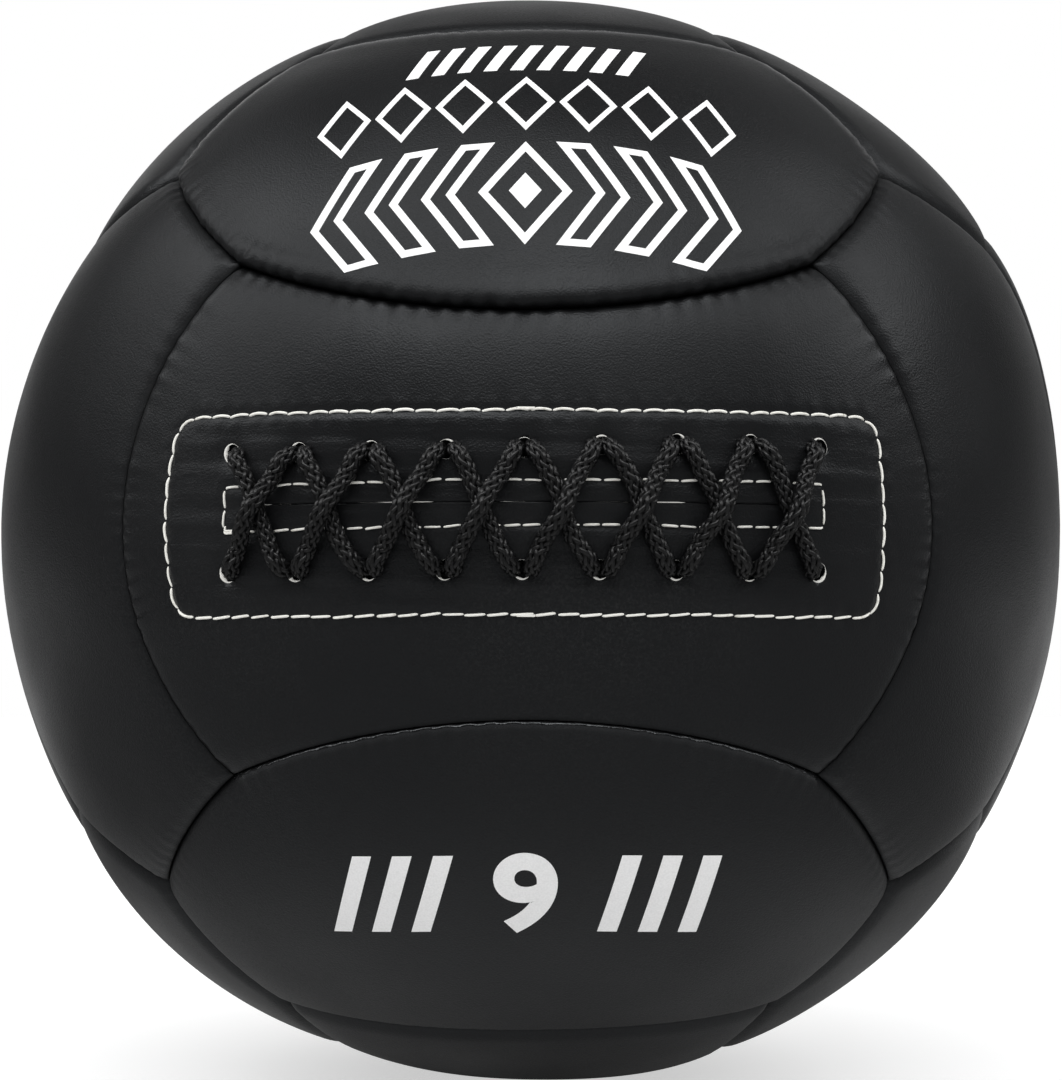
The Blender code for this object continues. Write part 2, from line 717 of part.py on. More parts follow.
def build_core(cutters, foam, canvas, fibre, shot, cord, collection):
    """The stuffing, from the foam wrap inwards to the bag of sand and shot."""
    pocket = cutters.objects["pocket_cutter"]

    def foam_inside(radius):
        return radius - FOAM_DEPTH - FOAM_THICKNESS

    def liner_inside(radius):
        return radius - LINER_DEPTH - LINER_THICKNESS

    def fill_inside(_radius):
        return FILL_CAVITY_RADIUS

    for name, plug in (("foam_wrap", False), ("foam_plug", True)):
        layer = round_layer(name, FOAM_DEPTH, foam_inside, FOAM_MOUTH_ANGLE, plug, foam, collection)
        cut(layer, pocket)
    round_layer("liner_bag", LINER_DEPTH, liner_inside, LINER_MOUTH_ANGLE, False, canvas, collection)
    for name, plug in (("fibre_fill", False), ("fibre_plug", True)):
        round_layer(name, FILL_DEPTH, fill_inside, FILL_MOUTH_ANGLE, plug, fibre, collection)
    weight_bag(canvas, collection)
    weight_fill(shot, collection)
    bag_tie(cord, collection)


def main():
    for old in list(bpy.data.objects):
        bpy.data.objects.remove(old, do_unlink=True)
    ball = bpy.data.collections.new("slam_ball")
    cutters = bpy.data.collections.new("cutters")
    for collection in (ball, cutters):
        bpy.context.scene.collection.children.link(collection)
    vinyl = surface("black_vinyl", (0.022, 0.022, 0.024), 0.5)
    cord = surface("black_cord", (0.014, 0.014, 0.015), 0.6)
    thread = surface("white_thread", (0.75, 0.74, 0.68), 0.6)
    foam = surface("grey_foam", (0.20, 0.20, 0.21), 0.9)
    canvas = surface("canvas", (0.45, 0.42, 0.34), 0.9)
    fibre = surface("textile_fibre", (0.32, 0.31, 0.30), 1.0)
    shot = surface("sand_and_shot", (0.28, 0.24, 0.19), 0.8)
    panels = build_cover(vinyl, ball)
    cut(panels["bottom_panel"], floor_cutter(cutters))
    build_lacing(panels["front_panel"], cutters, vinyl, cord, thread, ball)
    build_core(cutters, foam, canvas, fibre, shot, cord, ball)


main()
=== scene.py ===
"""The looks of a laced, soft training ball: its sewn cover, lacing, stitching, print, light and camera.

Metres, +Z up, in the frame of the solids. The lacing faces -Y. The seams are laid out on a cube, three
strips to a face, and thrown out from there onto the ball, as in the solids.
"""

import math
from typing import NamedTuple

import bmesh
import bpy
import numpy as np
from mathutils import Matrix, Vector
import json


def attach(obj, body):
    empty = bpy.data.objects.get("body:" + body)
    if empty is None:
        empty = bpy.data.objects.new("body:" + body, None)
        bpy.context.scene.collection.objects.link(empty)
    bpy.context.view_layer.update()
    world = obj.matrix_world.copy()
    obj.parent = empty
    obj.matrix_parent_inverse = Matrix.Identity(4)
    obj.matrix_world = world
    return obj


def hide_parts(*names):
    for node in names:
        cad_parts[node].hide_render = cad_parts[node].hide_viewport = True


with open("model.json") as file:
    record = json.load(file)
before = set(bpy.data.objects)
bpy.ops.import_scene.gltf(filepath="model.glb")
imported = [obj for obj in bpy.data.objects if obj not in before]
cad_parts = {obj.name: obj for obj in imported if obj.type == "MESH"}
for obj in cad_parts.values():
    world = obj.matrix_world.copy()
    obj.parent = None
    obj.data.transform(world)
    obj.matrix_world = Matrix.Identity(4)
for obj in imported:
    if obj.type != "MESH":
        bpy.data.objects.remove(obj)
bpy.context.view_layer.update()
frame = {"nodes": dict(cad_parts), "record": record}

# The ball's outside and its seams, as in the solids
HALF_SIZES = np.array([0.349, 0.352, 0.355]) / 2
SQUARENESS = 2.12
REST_FLAT_DEPTH = 0.0012
FRONT_RADIUS = HALF_SIZES[1]
CENTRE = np.array([0.0, 0.0, HALF_SIZES[2] - REST_FLAT_DEPTH])
SEAM_SPREAD = 1.022
SEAM_TAPER = 0.015
UPPER_STRETCH = 1.0135
LOWER_STRETCH = 1.027
UPPER_PUSH = 0.093
LOWER_PUSH = 0.160
CORNER_SHARE = 0.23  # of a side strip's outer seam: the share of each corner seam

# The padding's shape near a seam
LEVEL_EASE = 0.6  # how much shallower the seams are at the ball's middle height
LEVEL_BAND = 0.055
CORNER_WIDTH = 0.010
CORNER_DEPTH = 0.0013
ROUND_SHARE = 0.55  # of a roll: how much of it is a quarter circle, the rest being a parabola
RIDGE_AT, RIDGE_SPREAD = 1.7, 1.3  # of a roll's width: where the ridge over the folded edge lies
SHINE_AT, SHINE_SPREAD = 0.9, 0.7  # how far up the roll is rubbed shiny, and over how much that fades
LIP_WIDTH = 0.0014  # how far from a seam its lip hangs over the most
LIP_PINCH = 0.40  # how much less it does so at a stitch
SEAM_STITCH = 0.0052
RIPPLE_REACH, FOLD_REACH = 0.0036, 0.0085  # of the gathers along a seam
SEAM_SHADE = 0.0042  # how far the painted shade at a seam reaches
COVER_DEPTH = 0.006
SKIN_DEPTH = 0.003
LEAST_THICKNESS = 0.0012
EDGE_STEPS = np.array([0.2, 0.4, 0.7, 1.1, 1.6, 2.3, 3.1, 4.2, 5.6, 7.4]) * 0.001

# Where the soft ball is slack or full: degrees round its outline from the right, spread, and depth in mm
SLACK = (
    (150, 10, 3.4),
    (129, 12, 2.3),
    (209, 10, 1.4),
    (331, 8, 1.2),
    (54, 6, 0.9),
    (29, 12, -2.5),
    (286, 8, -2.0),
)
LUMPS = 0.0011  # how high the stuffing's waves are, per metre of their length
LUMP_LENGTHS = (0.045, 0.16)
SHRINK = 0.0001  # how much smaller the soft ball is than the solids

# The lacing
LACE_HOLES = 9
LACE_PITCH = 0.0212
LOWER_ROW = 0.0165
LOWER_SHIFT = 0.0006  # how far the lower row lies to the left of the upper one
UPPER_ROW = (16.5, 16.2, 16.2, 16.4, 16.8, 17.5, 18.1, 18.4, 18.0)  # in mm over the middle
LACE_RADIUS = 0.0026
BRAID_PITCH, YARN_RADIUS, CORE_RADIUS = 0.022, 0.00066, 0.0015
LACE_SPREAD = 0.0019  # how far from a hole's middle each of its two strands lies
UNDER_TURN = 0.0034  # how far from its hole a strand has turned level behind the panel
LACE_END = 0.0062  # how far over or under the lacing's middle the lace's ends lie
CORNER_STATIONS = 12  # of a stitched line
HOLE_WIDTH = 0.0052
HOLE_HEIGHT = 0.0056
SLIT_LENGTH = 0.160
SLIT_WIDTH = 0.0001
SLIT_RISE = 0.0018
PATCH_FURROW, SLIT_FURROW = 0.00050, 0.00035  # how deep the stitching sinks
PATCH_STEP = 0.00035  # how far the patched leather stands out
PATCH_EDGE = 0.0012  # how softly the thinner leather begins
HOLE_SINK = 0.0011
PATCH_SIZE, PATCH_DEPTHS = (0.218, 0.0640), (0.0033, 0.0048)
TONGUE_SIZE, TONGUE_DEPTHS = (0.190, 0.052), (0.0126, 0.0141)

# The print
ARCH = 3.4  # of the upper one, per metre: how much it bends down towards its sides
INK_DEPTH = 0.00012
CHEVRONS_UP, NUMBER_UP = 0.1195, -0.112  # along the ball, over its middle

# The room
ROOM_LIGHT, TENT_LIGHT = 0.050, 0.8  # in reflections: before the ball and behind it
FILL_LIGHT = 0.85
FLOOR_REACH = 6.0
FLOOR_GAP = 0.0002  # under the ball's rest
FOCAL_PIXELS, PHOTO_HEIGHT = 2627.7, 1080
CAMERA_RISE, CAMERA_TURN = -2.75, 0.6  # in degrees, seen from the ball's middle
CAMERA_AWAY = 5  # in half heights of the ball


# Seams


class Layout(NamedTuple):
    """A face's seams, in cube-face units: its middle is 0 and the cube's edge is 1."""

    reach: float
    corner_along: float
    corner_across: float
    waist: float
    bow: float


class Face(NamedTuple):
    """A face of the cube: its outward axis, the axis its strips run along, and the one across them."""

    name: str
    out: np.ndarray
    along: np.ndarray
    across: np.ndarray
    layout: Layout
    side_names: tuple


LACED = Layout(0.845, 0.574, 0.511, 0.334, -0.03)
TOP = Layout(0.630, 0.500, 0.476, 0.310, 0.02)
BOTTOM = Layout(0.610, 0.500, 0.522, 0.335, 0.03)
SIDE = Layout(0.740, 0.590, 0.370, 0.240, 0.03)
X_AXIS, Y_AXIS, Z_AXIS = np.eye(3)
FACES = (
    Face("front", -Y_AXIS, X_AXIS, Z_AXIS, LACED, ("lower", "upper")),
    Face("back", Y_AXIS, X_AXIS, Z_AXIS, LACED, ("lower", "upper")),
    Face("top", Z_AXIS, Y_AXIS, X_AXIS, TOP, ("left", "right")),
    Face("bottom", -Z_AXIS, Y_AXIS, X_AXIS, BOTTOM, ("left", "right")),
    Face("left", -X_AXIS, Z_AXIS, Y_AXIS, SIDE, ("front", "back")),
    Face("right", X_AXIS, Z_AXIS, Y_AXIS, SIDE, ("front", "back")),
)


class Seam(NamedTuple):
    """A run of seam: directions along it, and a count of stitches that is whole at its ends."""

    ways: np.ndarray
    stitches: np.ndarray


def unit(vectors):
    return vectors / np.linalg.norm(vectors, axis=-1, keepdims=True)


def bell(distance, width):
    """A bell curve, e^(-(d / w)^2)."""
    return np.exp(-((distance / width) ** 2))


def within(distance, softness):
    """A soft step, 1 / (1 + e^(d / s)): 1 where a signed distance is well below 0, and 0 well above it."""
    return 1 / (1 + np.exp(distance / softness))


def thrown_out(face, along, across):
    """The unit vector through a point of a cube face, spread sideways, up and down."""
    along, across = np.broadcast_arrays(along, across)
    way = face.out + along[..., None] * face.along + across[..., None] * face.across
    low = way[..., 2] < 0
    way[..., 1] *= 1 - np.where(low, LOWER_PUSH, UPPER_PUSH) * (way[..., 0] * way[..., 2]) ** 2
    way[..., 0] *= SEAM_SPREAD * (1 - SEAM_TAPER * way[..., 2])
    way[..., 2] *= np.where(low, LOWER_STRETCH, UPPER_STRETCH)
    return unit(way)


def counted(face, along, across, t):
    """A seam from its points, with its stitches counted evenly in t."""
    ways = thrown_out(face, along, across)
    ends = thrown_out(face, along[[0, -1]], across[[0, -1]])
    length = np.linalg.norm(ends[1] - ends[0]) * FRONT_RADIUS
    return Seam(ways, np.round(length / SEAM_STITCH) * t)


def inner_seam(face, side, t):
    """A parabola across = waist + (corner - waist) s^2, with s from -1 to 1 along the strip."""
    layout, s = face.layout, 2 * t - 1
    across = side * (layout.waist + (layout.corner_across - layout.waist) * s**2)
    return counted(face, s * layout.corner_along, across, t)


def end_seam(face, end, t):
    """A parabola along = reach - (reach - corner) s^2, with s from -1 to 1 across the strip."""
    layout, s = face.layout, 2 * t - 1
    along = end * (layout.reach - (layout.reach - layout.corner_along) * s**2)
    return counted(face, along, s * layout.corner_across, t)


def corner_seam(face, end, side, t):
    """A line from the strip's corner to the cube's corner, with a bow of 4 t (1 - t)."""
    layout = face.layout
    along = layout.corner_along + (1 - layout.corner_along) * t
    across = layout.corner_across + (1 - layout.corner_across) * t + layout.bow * 4 * t * (1 - t)
    return counted(face, end * along, side * across, t)


def centre_sides(face, u, v):
    """The south, north, west and east sides of a face's centre strip."""
    return inner_seam(face, -1, u), inner_seam(face, 1, u), end_seam(face, -1, v), end_seam(face, 1, v)


def outer_side(face, side, u):
    """The outer side of a side strip: the next face's corner seam, end seam and corner seam, joined."""
    near = next(f for f in FACES if f.out @ face.across == side)
    facing, turn = near.along @ face.out, near.across @ face.along
    first, last = u <= CORNER_SHARE, u >= 1 - CORNER_SHARE
    middle = ~first & ~last
    t_middle = (u[middle] - CORNER_SHARE) / (1 - 2 * CORNER_SHARE)
    parts = (
        corner_seam(near, facing, -turn, 1 - u[first] / CORNER_SHARE),
        end_seam(near, facing, t_middle if turn > 0 else 1 - t_middle),
        corner_seam(near, facing, turn, 1 - (1 - u[last]) / CORNER_SHARE),
    )
    return Seam(np.concatenate([p.ways for p in parts]), np.concatenate([p.stitches for p in parts]))


def side_sides(face, side, u, v):
    """The south, north, west and east sides of the strip beside the centre strip."""
    return (
        inner_seam(face, side, u),
        outer_side(face, side, u),
        corner_seam(face, -1, side, v),
        corner_seam(face, 1, side, v),
    )


def fill_patch(u, v, sides):
    """Coons rule: the ruled surfaces between opposite sides, less the bilinear one through the corners."""
    south, north, west, east = (side.ways for side in sides)
    u, v = u[:, None, None], v[None, :, None]
    ruled = (1 - v) * south[:, None] + v * north[:, None] + (1 - u) * west[None] + u * east[None]
    corners = (1 - u) * ((1 - v) * south[0] + v * north[0]) + u * ((1 - v) * south[-1] + v * north[-1])
    return unit(ruled - corners)


def outside_radius(ways):
    """The superellipsoid |x/a|^p + |y/b|^p + |z/c|^p = 1, as a distance from the centre."""
    return (np.abs(ways / HALF_SIZES) ** SQUARENESS).sum(-1) ** (-1 / SQUARENESS)


class Edge(NamedTuple):
    """How a panel's padding meets a seam: how deep and wide its roll and sag are, and how deep its gathers.

    Then how much deeper it lies at the seam's ends, how high its ridge is, how far its lip hangs over,
    and how shiny its shoulder is rubbed.
    """

    roll: float
    width: float
    sag: float
    reach: float
    gather: float
    ends: float = 0.0
    ridge: float = 0.0
    lip: float = 0.0
    shine: float = 0.0


PLAIN_EDGE = Edge(0.0028, 0.0056, 0.0015, 0.012, 0.00015)
UPPER_LIP = Edge(0.0046, 0.0023, -0.0003, 0.009, 0.0007, ridge=0.0006, lip=0.0008, shine=-0.3)
UPPER_SIDE = Edge(0.0038, 0.0026, 0.0004, 0.010, 0.0004, ridge=0.0003, lip=0.0006, shine=-0.2)
TOP_RIM = Edge(0.0018, 0.0040, 0.0010, 0.010, 0.0003, ridge=0.0003, shine=1.0)
UNDER_LIP = Edge(0.0012, 0.0024, 0.0038, 0.0070, 0.0008, shine=0.2)
LOWER_LIP = Edge(0.0019, 0.0012, -0.0013, 0.006, 0.0005, ends=0.0027, lip=0.0002, shine=1.6)
FRONT_LOW = Edge(0.0, 0.0014, 0.0002, 0.0040, 0.0001, ends=0.0024)
FRONT_END = Edge(0.0010, 0.0022, 0.0018, 0.0080, 0.0006, shine=0.3)
BESIDE_FRONT = Edge(0.0022, 0.0052, 0.0014, 0.012, 0.0003)
EDGES = {
    "front_panel": (FRONT_LOW, UNDER_LIP, FRONT_END, FRONT_END),
    "front_upper_panel": (UPPER_LIP, TOP_RIM, UPPER_SIDE, UPPER_SIDE),
    "front_lower_panel": (LOWER_LIP, PLAIN_EDGE, PLAIN_EDGE, PLAIN_EDGE),
    "left_front_panel": (PLAIN_EDGE, BESIDE_FRONT, PLAIN_EDGE, PLAIN_EDGE),
    "right_front_panel": (PLAIN_EDGE, BESIDE_FRONT, PLAIN_EDGE, PLAIN_EDGE),
}


def is_centre(name):
    """Whether a panel is a face's centre strip: front_panel is, and front_upper_panel isn't."""
    return name.count("_") == 1


class Strip:
    """One cover panel: where it lies, its seams, and the height of its padding."""

    def __init__(self, name, sides, fine):
        self.name = name
        self.sides = sides
        self.fine = fine
        self.edges = EDGES.get(name, (PLAIN_EDGE,) * 4)
        ends = np.linspace(0, 1, 401)
        self.runs = sides(ends, ends)
        last = len(ends) - 1
        bend = round(last * CORNER_SHARE)
        bends = [0, last] if is_centre(name) else [0, bend, last - bend, last]
        self.corners = np.concatenate([self.runs[0].ways[[0, last]], self.runs[1].ways[bends]])

    def measure(self, ways):
        """For each seam: the distance to it, and its stitch count and direction at the nearest place."""
        flat = ways.reshape(-1, 3)
        distances, counts, feet = [], [], []
        for run in self.runs:
            starts, chords = run.ways[:-1], np.diff(run.ways, axis=0)
            middles = unit(starts + chords / 2)
            nearest = np.concatenate([(part @ middles.T).argmax(1) for part in np.array_split(flat, 24)])
            best, count, foot = np.full(len(flat), np.inf), np.zeros(len(flat)), np.zeros(flat.shape)
            for shift in (-1, 0, 1):
                k = np.clip(nearest + shift, 0, len(starts) - 1)
                t = ((flat - starts[k]) * chords[k]).sum(-1) / np.maximum((chords[k] ** 2).sum(-1), 1e-12)
                t = np.clip(t, 0, 1)
                place_on = starts[k] + t[:, None] * chords[k]
                distance = np.linalg.norm(flat - place_on, axis=-1)
                closer = distance < best
                best = np.where(closer, distance, best)
                count = np.where(closer, run.stitches[k] + (run.stitches[k + 1] - run.stitches[k]) * t, count)
                foot = np.where(closer[:, None], place_on, foot)
            distances.append(best.reshape(ways.shape[:-1]) * FRONT_RADIUS)
            counts.append(count.reshape(ways.shape[:-1]))
            feet.append(foot.reshape(ways.shape))
        return np.array(distances), np.array(counts), np.array(feet)

    def radius(self, ways, measured=None):
        """Distance of the panel's outside from the ball's centre.

        Each seam draws the padding in by roll ((1 - q) t^2 + q (1 - sqrt(1 - t^2))) and by
        (sag + ends s^2) e^(-d / reach), with t = 1 - d / width, s from -1 to 1 along the seam, and q the
        rolls' round share. The four draw-ins are joined by the cube root of the sum of their cubes. A
        ridge is a bell curve of the distance.
        """
        distances, counts, _ = self.measure(ways) if measured is None else measured
        total, ridges = 0, 0
        for edge, distance, count, run in zip(self.edges, distances, counts, self.runs):
            t = np.clip(1 - distance / edge.width, 0, 1)
            rolled = edge.roll * ((1 - ROUND_SHARE) * t**2 + ROUND_SHARE * (1 - np.sqrt(1 - t**2)))
            sunk = edge.sag + edge.ends * (2 * count / run.stitches.max() - 1) ** 2
            total = total + (rolled + sunk * np.exp(-distance / edge.reach)) ** 3
            ridges = ridges + edge.ridge * bell(distance / edge.width - RIDGE_AT, RIDGE_SPREAD)
        tight = 1 - LEVEL_EASE * bell(ways[..., 2] * FRONT_RADIUS, LEVEL_BAND)
        depth = tight * np.cbrt(total) - ridges
        for corner in self.corners:
            off = np.linalg.norm(ways - corner, axis=-1) * FRONT_RADIUS
            depth = depth + CORNER_DEPTH * np.exp(-off / CORNER_WIDTH)
        nearest = distances.argmin(0)[None]
        distance = distances.min(0)
        gather = np.array([edge.gather for edge in self.edges])[nearest[0]]
        depth = depth - puckers(distance, np.take_along_axis(counts, nearest, 0)[0], gather)
        if self.name == "front_panel":
            depth = depth - lacing_relief(*front_place(ways))
        return outside_radius(ways) - depth + lumps(ways)

    def rubbed(self, distances):
        """How shiny it is rubbed: full over its seams' rolls, fading as half a bell curve beyond them."""
        total = 0
        for edge, distance in zip(self.edges, distances):
            beyond = np.maximum(distance / edge.width - SHINE_AT, 0)
            total = total + edge.shine * bell(beyond, SHINE_SPREAD)
        return total

    def hung_over(self, ways, measured):
        """The outside's directions, shifted towards and over a seam by its lip: h (d / w) e^(1 - d / w)."""
        distances, counts, feet = measured
        moved = ways
        for edge, distance, count, foot in zip(self.edges, distances, counts, feet):
            share = distance / LIP_WIDTH
            pinched = 1 - LIP_PINCH * np.cos(2 * math.pi * count) * (0.6 + 0.5 * waves(count, (5.3, 9.1), 15))
            pinched = pinched + 0.25 * waves(count, (1.7, 2.6, 3.7), 16)
            shift = edge.lip * pinched * share * np.exp(1 - share) / FRONT_RADIUS
            toward = foot - ways
            toward = toward / np.maximum(np.linalg.norm(toward, axis=-1, keepdims=True), 1e-9)
            moved = moved + shift[..., None] * toward
        return unit(moved)

    def point(self, ways, height=0.0):
        """Points over the panel, at a height above its outside."""
        return CENTRE + ways * (self.radius(ways) + height)[..., None]


def waves(values, lengths, seed):
    """A sum of sines of the given wave lengths and set phases, from about -1 to 1."""
    phases = np.random.default_rng(seed).uniform(0, 2 * math.pi, len(lengths))
    total = sum(np.sin(values * (2 * math.pi / n) + p) for n, p in zip(lengths, phases))
    return total / math.sqrt(len(lengths))


def lumps(ways):
    """Unevenness of the stuffing: plane waves across the ball, and the slack and full places."""
    rng = np.random.default_rng(7)
    total = 0
    for length in np.linspace(*LUMP_LENGTHS, 14):
        across = unit(rng.normal(size=3))
        phase = rng.uniform(0, 6.28)
        total = total + np.sin(ways @ across * FRONT_RADIUS * (2 * math.pi / length) + phase) * length
    height = LUMPS * total - SHRINK
    for around, spread, depth in SLACK:
        turn = math.radians(around)
        middle = unit(np.array([math.cos(turn), -0.2, math.sin(turn)]))
        off = np.arccos(np.clip(ways @ middle, -1, 1)) / math.radians(spread)
        height = height - depth * 0.001 * np.exp(-(off**2) / 2)
    return height


def puckers(distance, count, gather):
    """Gathers along a seam: a ripple with each stitch near it, and longer uneven folds that reach further."""
    strength = 0.6 + 0.4 * waves(count, (7.3, 11.9, 23.0), 3)
    ripple = strength * np.cos(2 * math.pi * count) * np.exp(-distance / RIPPLE_REACH)
    folds = 0.3 * waves(count, (2.3, 3.1, 4.7, 7.9), 5) * np.exp(-distance / FOLD_REACH)
    return gather * (ripple + folds) * (1 - bell(distance, 0.0006))


# The front panel


def front_place(ways):
    """Distances along the front panel from its middle: across, to the right, and up."""
    across = np.arctan2(ways[..., 0], -ways[..., 1]) * FRONT_RADIUS
    return across, np.arcsin(ways[..., 2]) * FRONT_RADIUS


def front_way(across, up):
    """The direction of a place on the front panel."""
    turn, tilt = across / FRONT_RADIUS, up / FRONT_RADIUS
    return np.stack([np.sin(turn) * np.cos(tilt), -np.cos(turn) * np.cos(tilt), np.sin(tilt)], axis=-1)


class Sewing(NamedTuple):
    """A stitched line round a rectangle: its size, corner radius and stitch, and how far it strays.

    It lies a shift to the left and a rise above the lacing's middle. Its left and right sides bow out at half
    height, and its left end droops.
    """

    width: float
    height: float
    radius: float
    pitch: float
    bows: tuple
    shift: float
    rise: float
    droop: float

    def bow_out(self, across, up):
        """How far to the side a place lies for its side's bow."""
        return np.where(across < 0, -self.bows[0], self.bows[1]) * (up / self.height * 2) ** 2

    def square_up(self, across, up):
        """Where a place would lie if the line were a true rectangle about the origin."""
        up = up - self.rise + self.droop * np.clip(-across / self.width, 0, 1)
        return across + self.shift + self.bow_out(across, up), up

    def stray(self, across, up):
        """The reverse of square_up, near enough for so small a change."""
        across = across - self.shift - self.bow_out(across, up)
        return across, up + self.rise - self.droop * np.clip(-across / self.width, 0, 1)

    def off_line(self, across, up):
        """Signed distance to the line, negative inside it."""
        across, up = self.square_up(across, up)
        x = np.abs(across) - self.width / 2 + self.radius
        y = np.abs(up) - self.height / 2 + self.radius
        outside = np.hypot(np.maximum(x, 0), np.maximum(y, 0))
        return outside + np.minimum(np.maximum(x, y), 0) - self.radius


PATCH_SEWING = Sewing(0.2130, 0.0558, 0.0055, 0.0062, (0.0035, 0.0020), 0.0005, -0.0008, 0.0)
SLIT_SEWING = Sewing(0.1716, 0.0124, 0.0010, 0.0054, (0.0, 0.0), 0.0005, SLIT_RISE, 0.0020)


class Stitch(NamedTuple):
    """A stitch: its length per pitch, its thread's radius, how far it slants and how far it arches out.

    The line is sewn over again, beside itself, by a few stitches past its lower left corner.
    """

    share: float
    radius: float
    slant: float
    arch: float
    again: int


PATCH_STITCH = Stitch(1.04, 0.00038, 0.00024, 0.00045, 0)
SLIT_STITCH = Stitch(0.93, 0.00034, 0.00010, 0.00008, 3)


def hole_places():
    """The middles of the lace holes, by column and row (lower, upper)."""
    across = (np.arange(LACE_HOLES) - (LACE_HOLES - 1) / 2) * LACE_PITCH
    lower = np.stack([across - LOWER_SHIFT, np.full(LACE_HOLES, -LOWER_ROW)], axis=-1)
    upper = np.stack([across, np.array(UPPER_ROW) * 0.001], axis=-1)
    return np.stack([lower, upper], axis=1)


def lacing_relief(across, up):
    """Height of the front panel round its lacing: furrows, puckers, pulled holes and the slit's lips."""
    outer, inner = PATCH_SEWING.off_line(across, up), SLIT_SEWING.off_line(across, up)
    relief = PATCH_STEP * within(outer, 0.0009) - PATCH_FURROW * bell(outer, 0.0013)
    relief = relief - SLIT_FURROW * bell(inner, 0.0011)
    along = np.where(np.abs(up) > PATCH_SEWING.height * 0.42, across, up)
    gathers = np.cos(2 * math.pi * along / PATCH_SEWING.pitch)
    relief = relief - 0.00016 * gathers * bell(np.abs(outer) - 0.0019, 0.0011)
    relief = relief + 0.00012 * bell(outer, 0.006) * waves(across + 0.3 * up, (0.0058, 0.0117, 0.0193), 11)
    creases = 0.00013 * waves(up + 0.05 * across, (0.0071, 0.0113), 12)
    creases = creases + 0.00004 * waves(up + 0.03 * across, (0.0021, 0.0029, 0.0037), 14)
    relief = relief + creases * within(outer, 0.002)
    for middle in hole_places().reshape(-1, 2):
        relief = relief - HOLE_SINK * bell(np.hypot(across - middle[0], up - middle[1]), 0.0042)
    off_slit, past_end = np.abs(up - SLIT_RISE), np.abs(across) - SLIT_LENGTH / 2
    lips = bell(off_slit - 0.0013, 0.0009) * (past_end < 0.003)
    gutter = bell(off_slit, 0.0006) * (past_end < 0.001)
    return relief + (0.00016 + 0.00012 * waves(across, (0.021, 0.034, 0.013), 13)) * lips - 0.00015 * gutter


# Meshes


def add_object(name, data):
    made = bpy.data.objects.new(name, data)
    bpy.context.scene.collection.objects.link(made)
    return made


def finished_mesh(thing):
    """The mesh of an object with its modifiers, or of a text with its thickening."""
    bpy.context.view_layer.update()
    return bpy.data.meshes.new_from_object(thing.evaluated_get(bpy.context.evaluated_depsgraph_get()))


def mesh_object(name, points, faces, material, node=None):
    """A piece from whole arrays of points and of faces with equal corner counts, riding on the root.

    It may stand for a node of the solids, whose own mesh it hides.
    """
    mesh = bpy.data.meshes.new(name)
    points = np.asarray(points, dtype=np.float32)
    faces = np.asarray(faces, dtype=np.int32)
    mesh.vertices.add(len(points))
    mesh.vertices.foreach_set("co", points.ravel())
    mesh.loops.add(faces.size)
    mesh.loops.foreach_set("vertex_index", faces.ravel())
    mesh.polygons.add(len(faces))
    mesh.polygons.foreach_set("loop_start", np.arange(len(faces), dtype=np.int32) * faces.shape[1])
    mesh.update(calc_edges=True)
    mesh.validate()
    mesh.shade_smooth()
    mesh.materials.append(material)
    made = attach(add_object(name, mesh), "root")
    if node:
        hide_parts(node)
    return made


def keep_value(piece, name, outside, inside):
    """Stores a number for each point of a shell's two skins, for the materials to read."""
    values = np.stack([outside, np.broadcast_to(inside, outside.shape)]).astype(np.float32)
    piece.data.attributes.new(name, "FLOAT", "POINT").data.foreach_set("value", values.ravel())


def facing_out(points, faces):
    """The four-cornered faces, turned over if the closed body they make has a negative volume."""
    a, b, c, d = points[faces].transpose(1, 0, 2)
    volume = np.einsum("ij,ij->", a, np.cross(b, c)) + np.einsum("ij,ij->", a, np.cross(c, d))
    return faces if volume > 0 else faces[:, ::-1]


def shell(outer, inner):
    """A closed shell between two grids of the same shape: both skins and the wall round their edge."""
    rows, columns = outer.shape[:2]
    count = rows * columns
    grid = np.arange(count).reshape(rows, columns)
    top = np.stack([grid[:-1, :-1], grid[1:, :-1], grid[1:, 1:], grid[:-1, 1:]], axis=-1).reshape(-1, 4)
    ring = np.concatenate([grid[:-1, 0], grid[-1, :-1], grid[:0:-1, -1], grid[0, :0:-1]])
    following = np.roll(ring, -1)
    wall = np.stack([ring, ring + count, following + count, following], axis=-1)
    points = np.concatenate([outer.reshape(-1, 3), inner.reshape(-1, 3)])
    points -= CENTRE
    faces = facing_out(points, np.concatenate([top, top[:, ::-1] + count, wall]))
    return points + CENTRE, faces


def capped_tubes(name, paths, radii, sides, reference, material, node=None):
    """Closed round tubes along paths: rings of points, with four-cornered faces across both ends.

    paths is tube, station, xyz; radii is tube, station; reference is a direction at each station that the
    path never runs along. Each ring is centre + r (cos a N + sin a B), with N and B square to the path.
    """
    run = unit(np.gradient(paths, axis=1))
    side = unit(reference - (reference * run).sum(-1, keepdims=True) * run)
    other = np.cross(run, side)
    angle = np.arange(sides) * 2 * math.pi / sides
    ring = np.cos(angle)[:, None] * side[:, :, None] + np.sin(angle)[:, None] * other[:, :, None]
    points = paths[:, :, None] + ring * radii[:, :, None, None]
    index = np.arange(radii.size * sides).reshape(*radii.shape, sides)
    around = np.roll(index, -1, axis=2)
    walls = np.stack([index[:, :-1], around[:, :-1], around[:, 1:], index[:, 1:]], axis=-1).reshape(-1, 4)
    caps = []
    for k in range(sides // 2 - 1):
        a, b, c, d = k, k + 1, sides - 2 - k, sides - 1 - k
        caps += [index[:, 0, [a, d, c, b]], index[:, -1, [a, b, c, d]]]
    return mesh_object(name, points.reshape(-1, 3), np.concatenate([walls, *caps]), material, node)


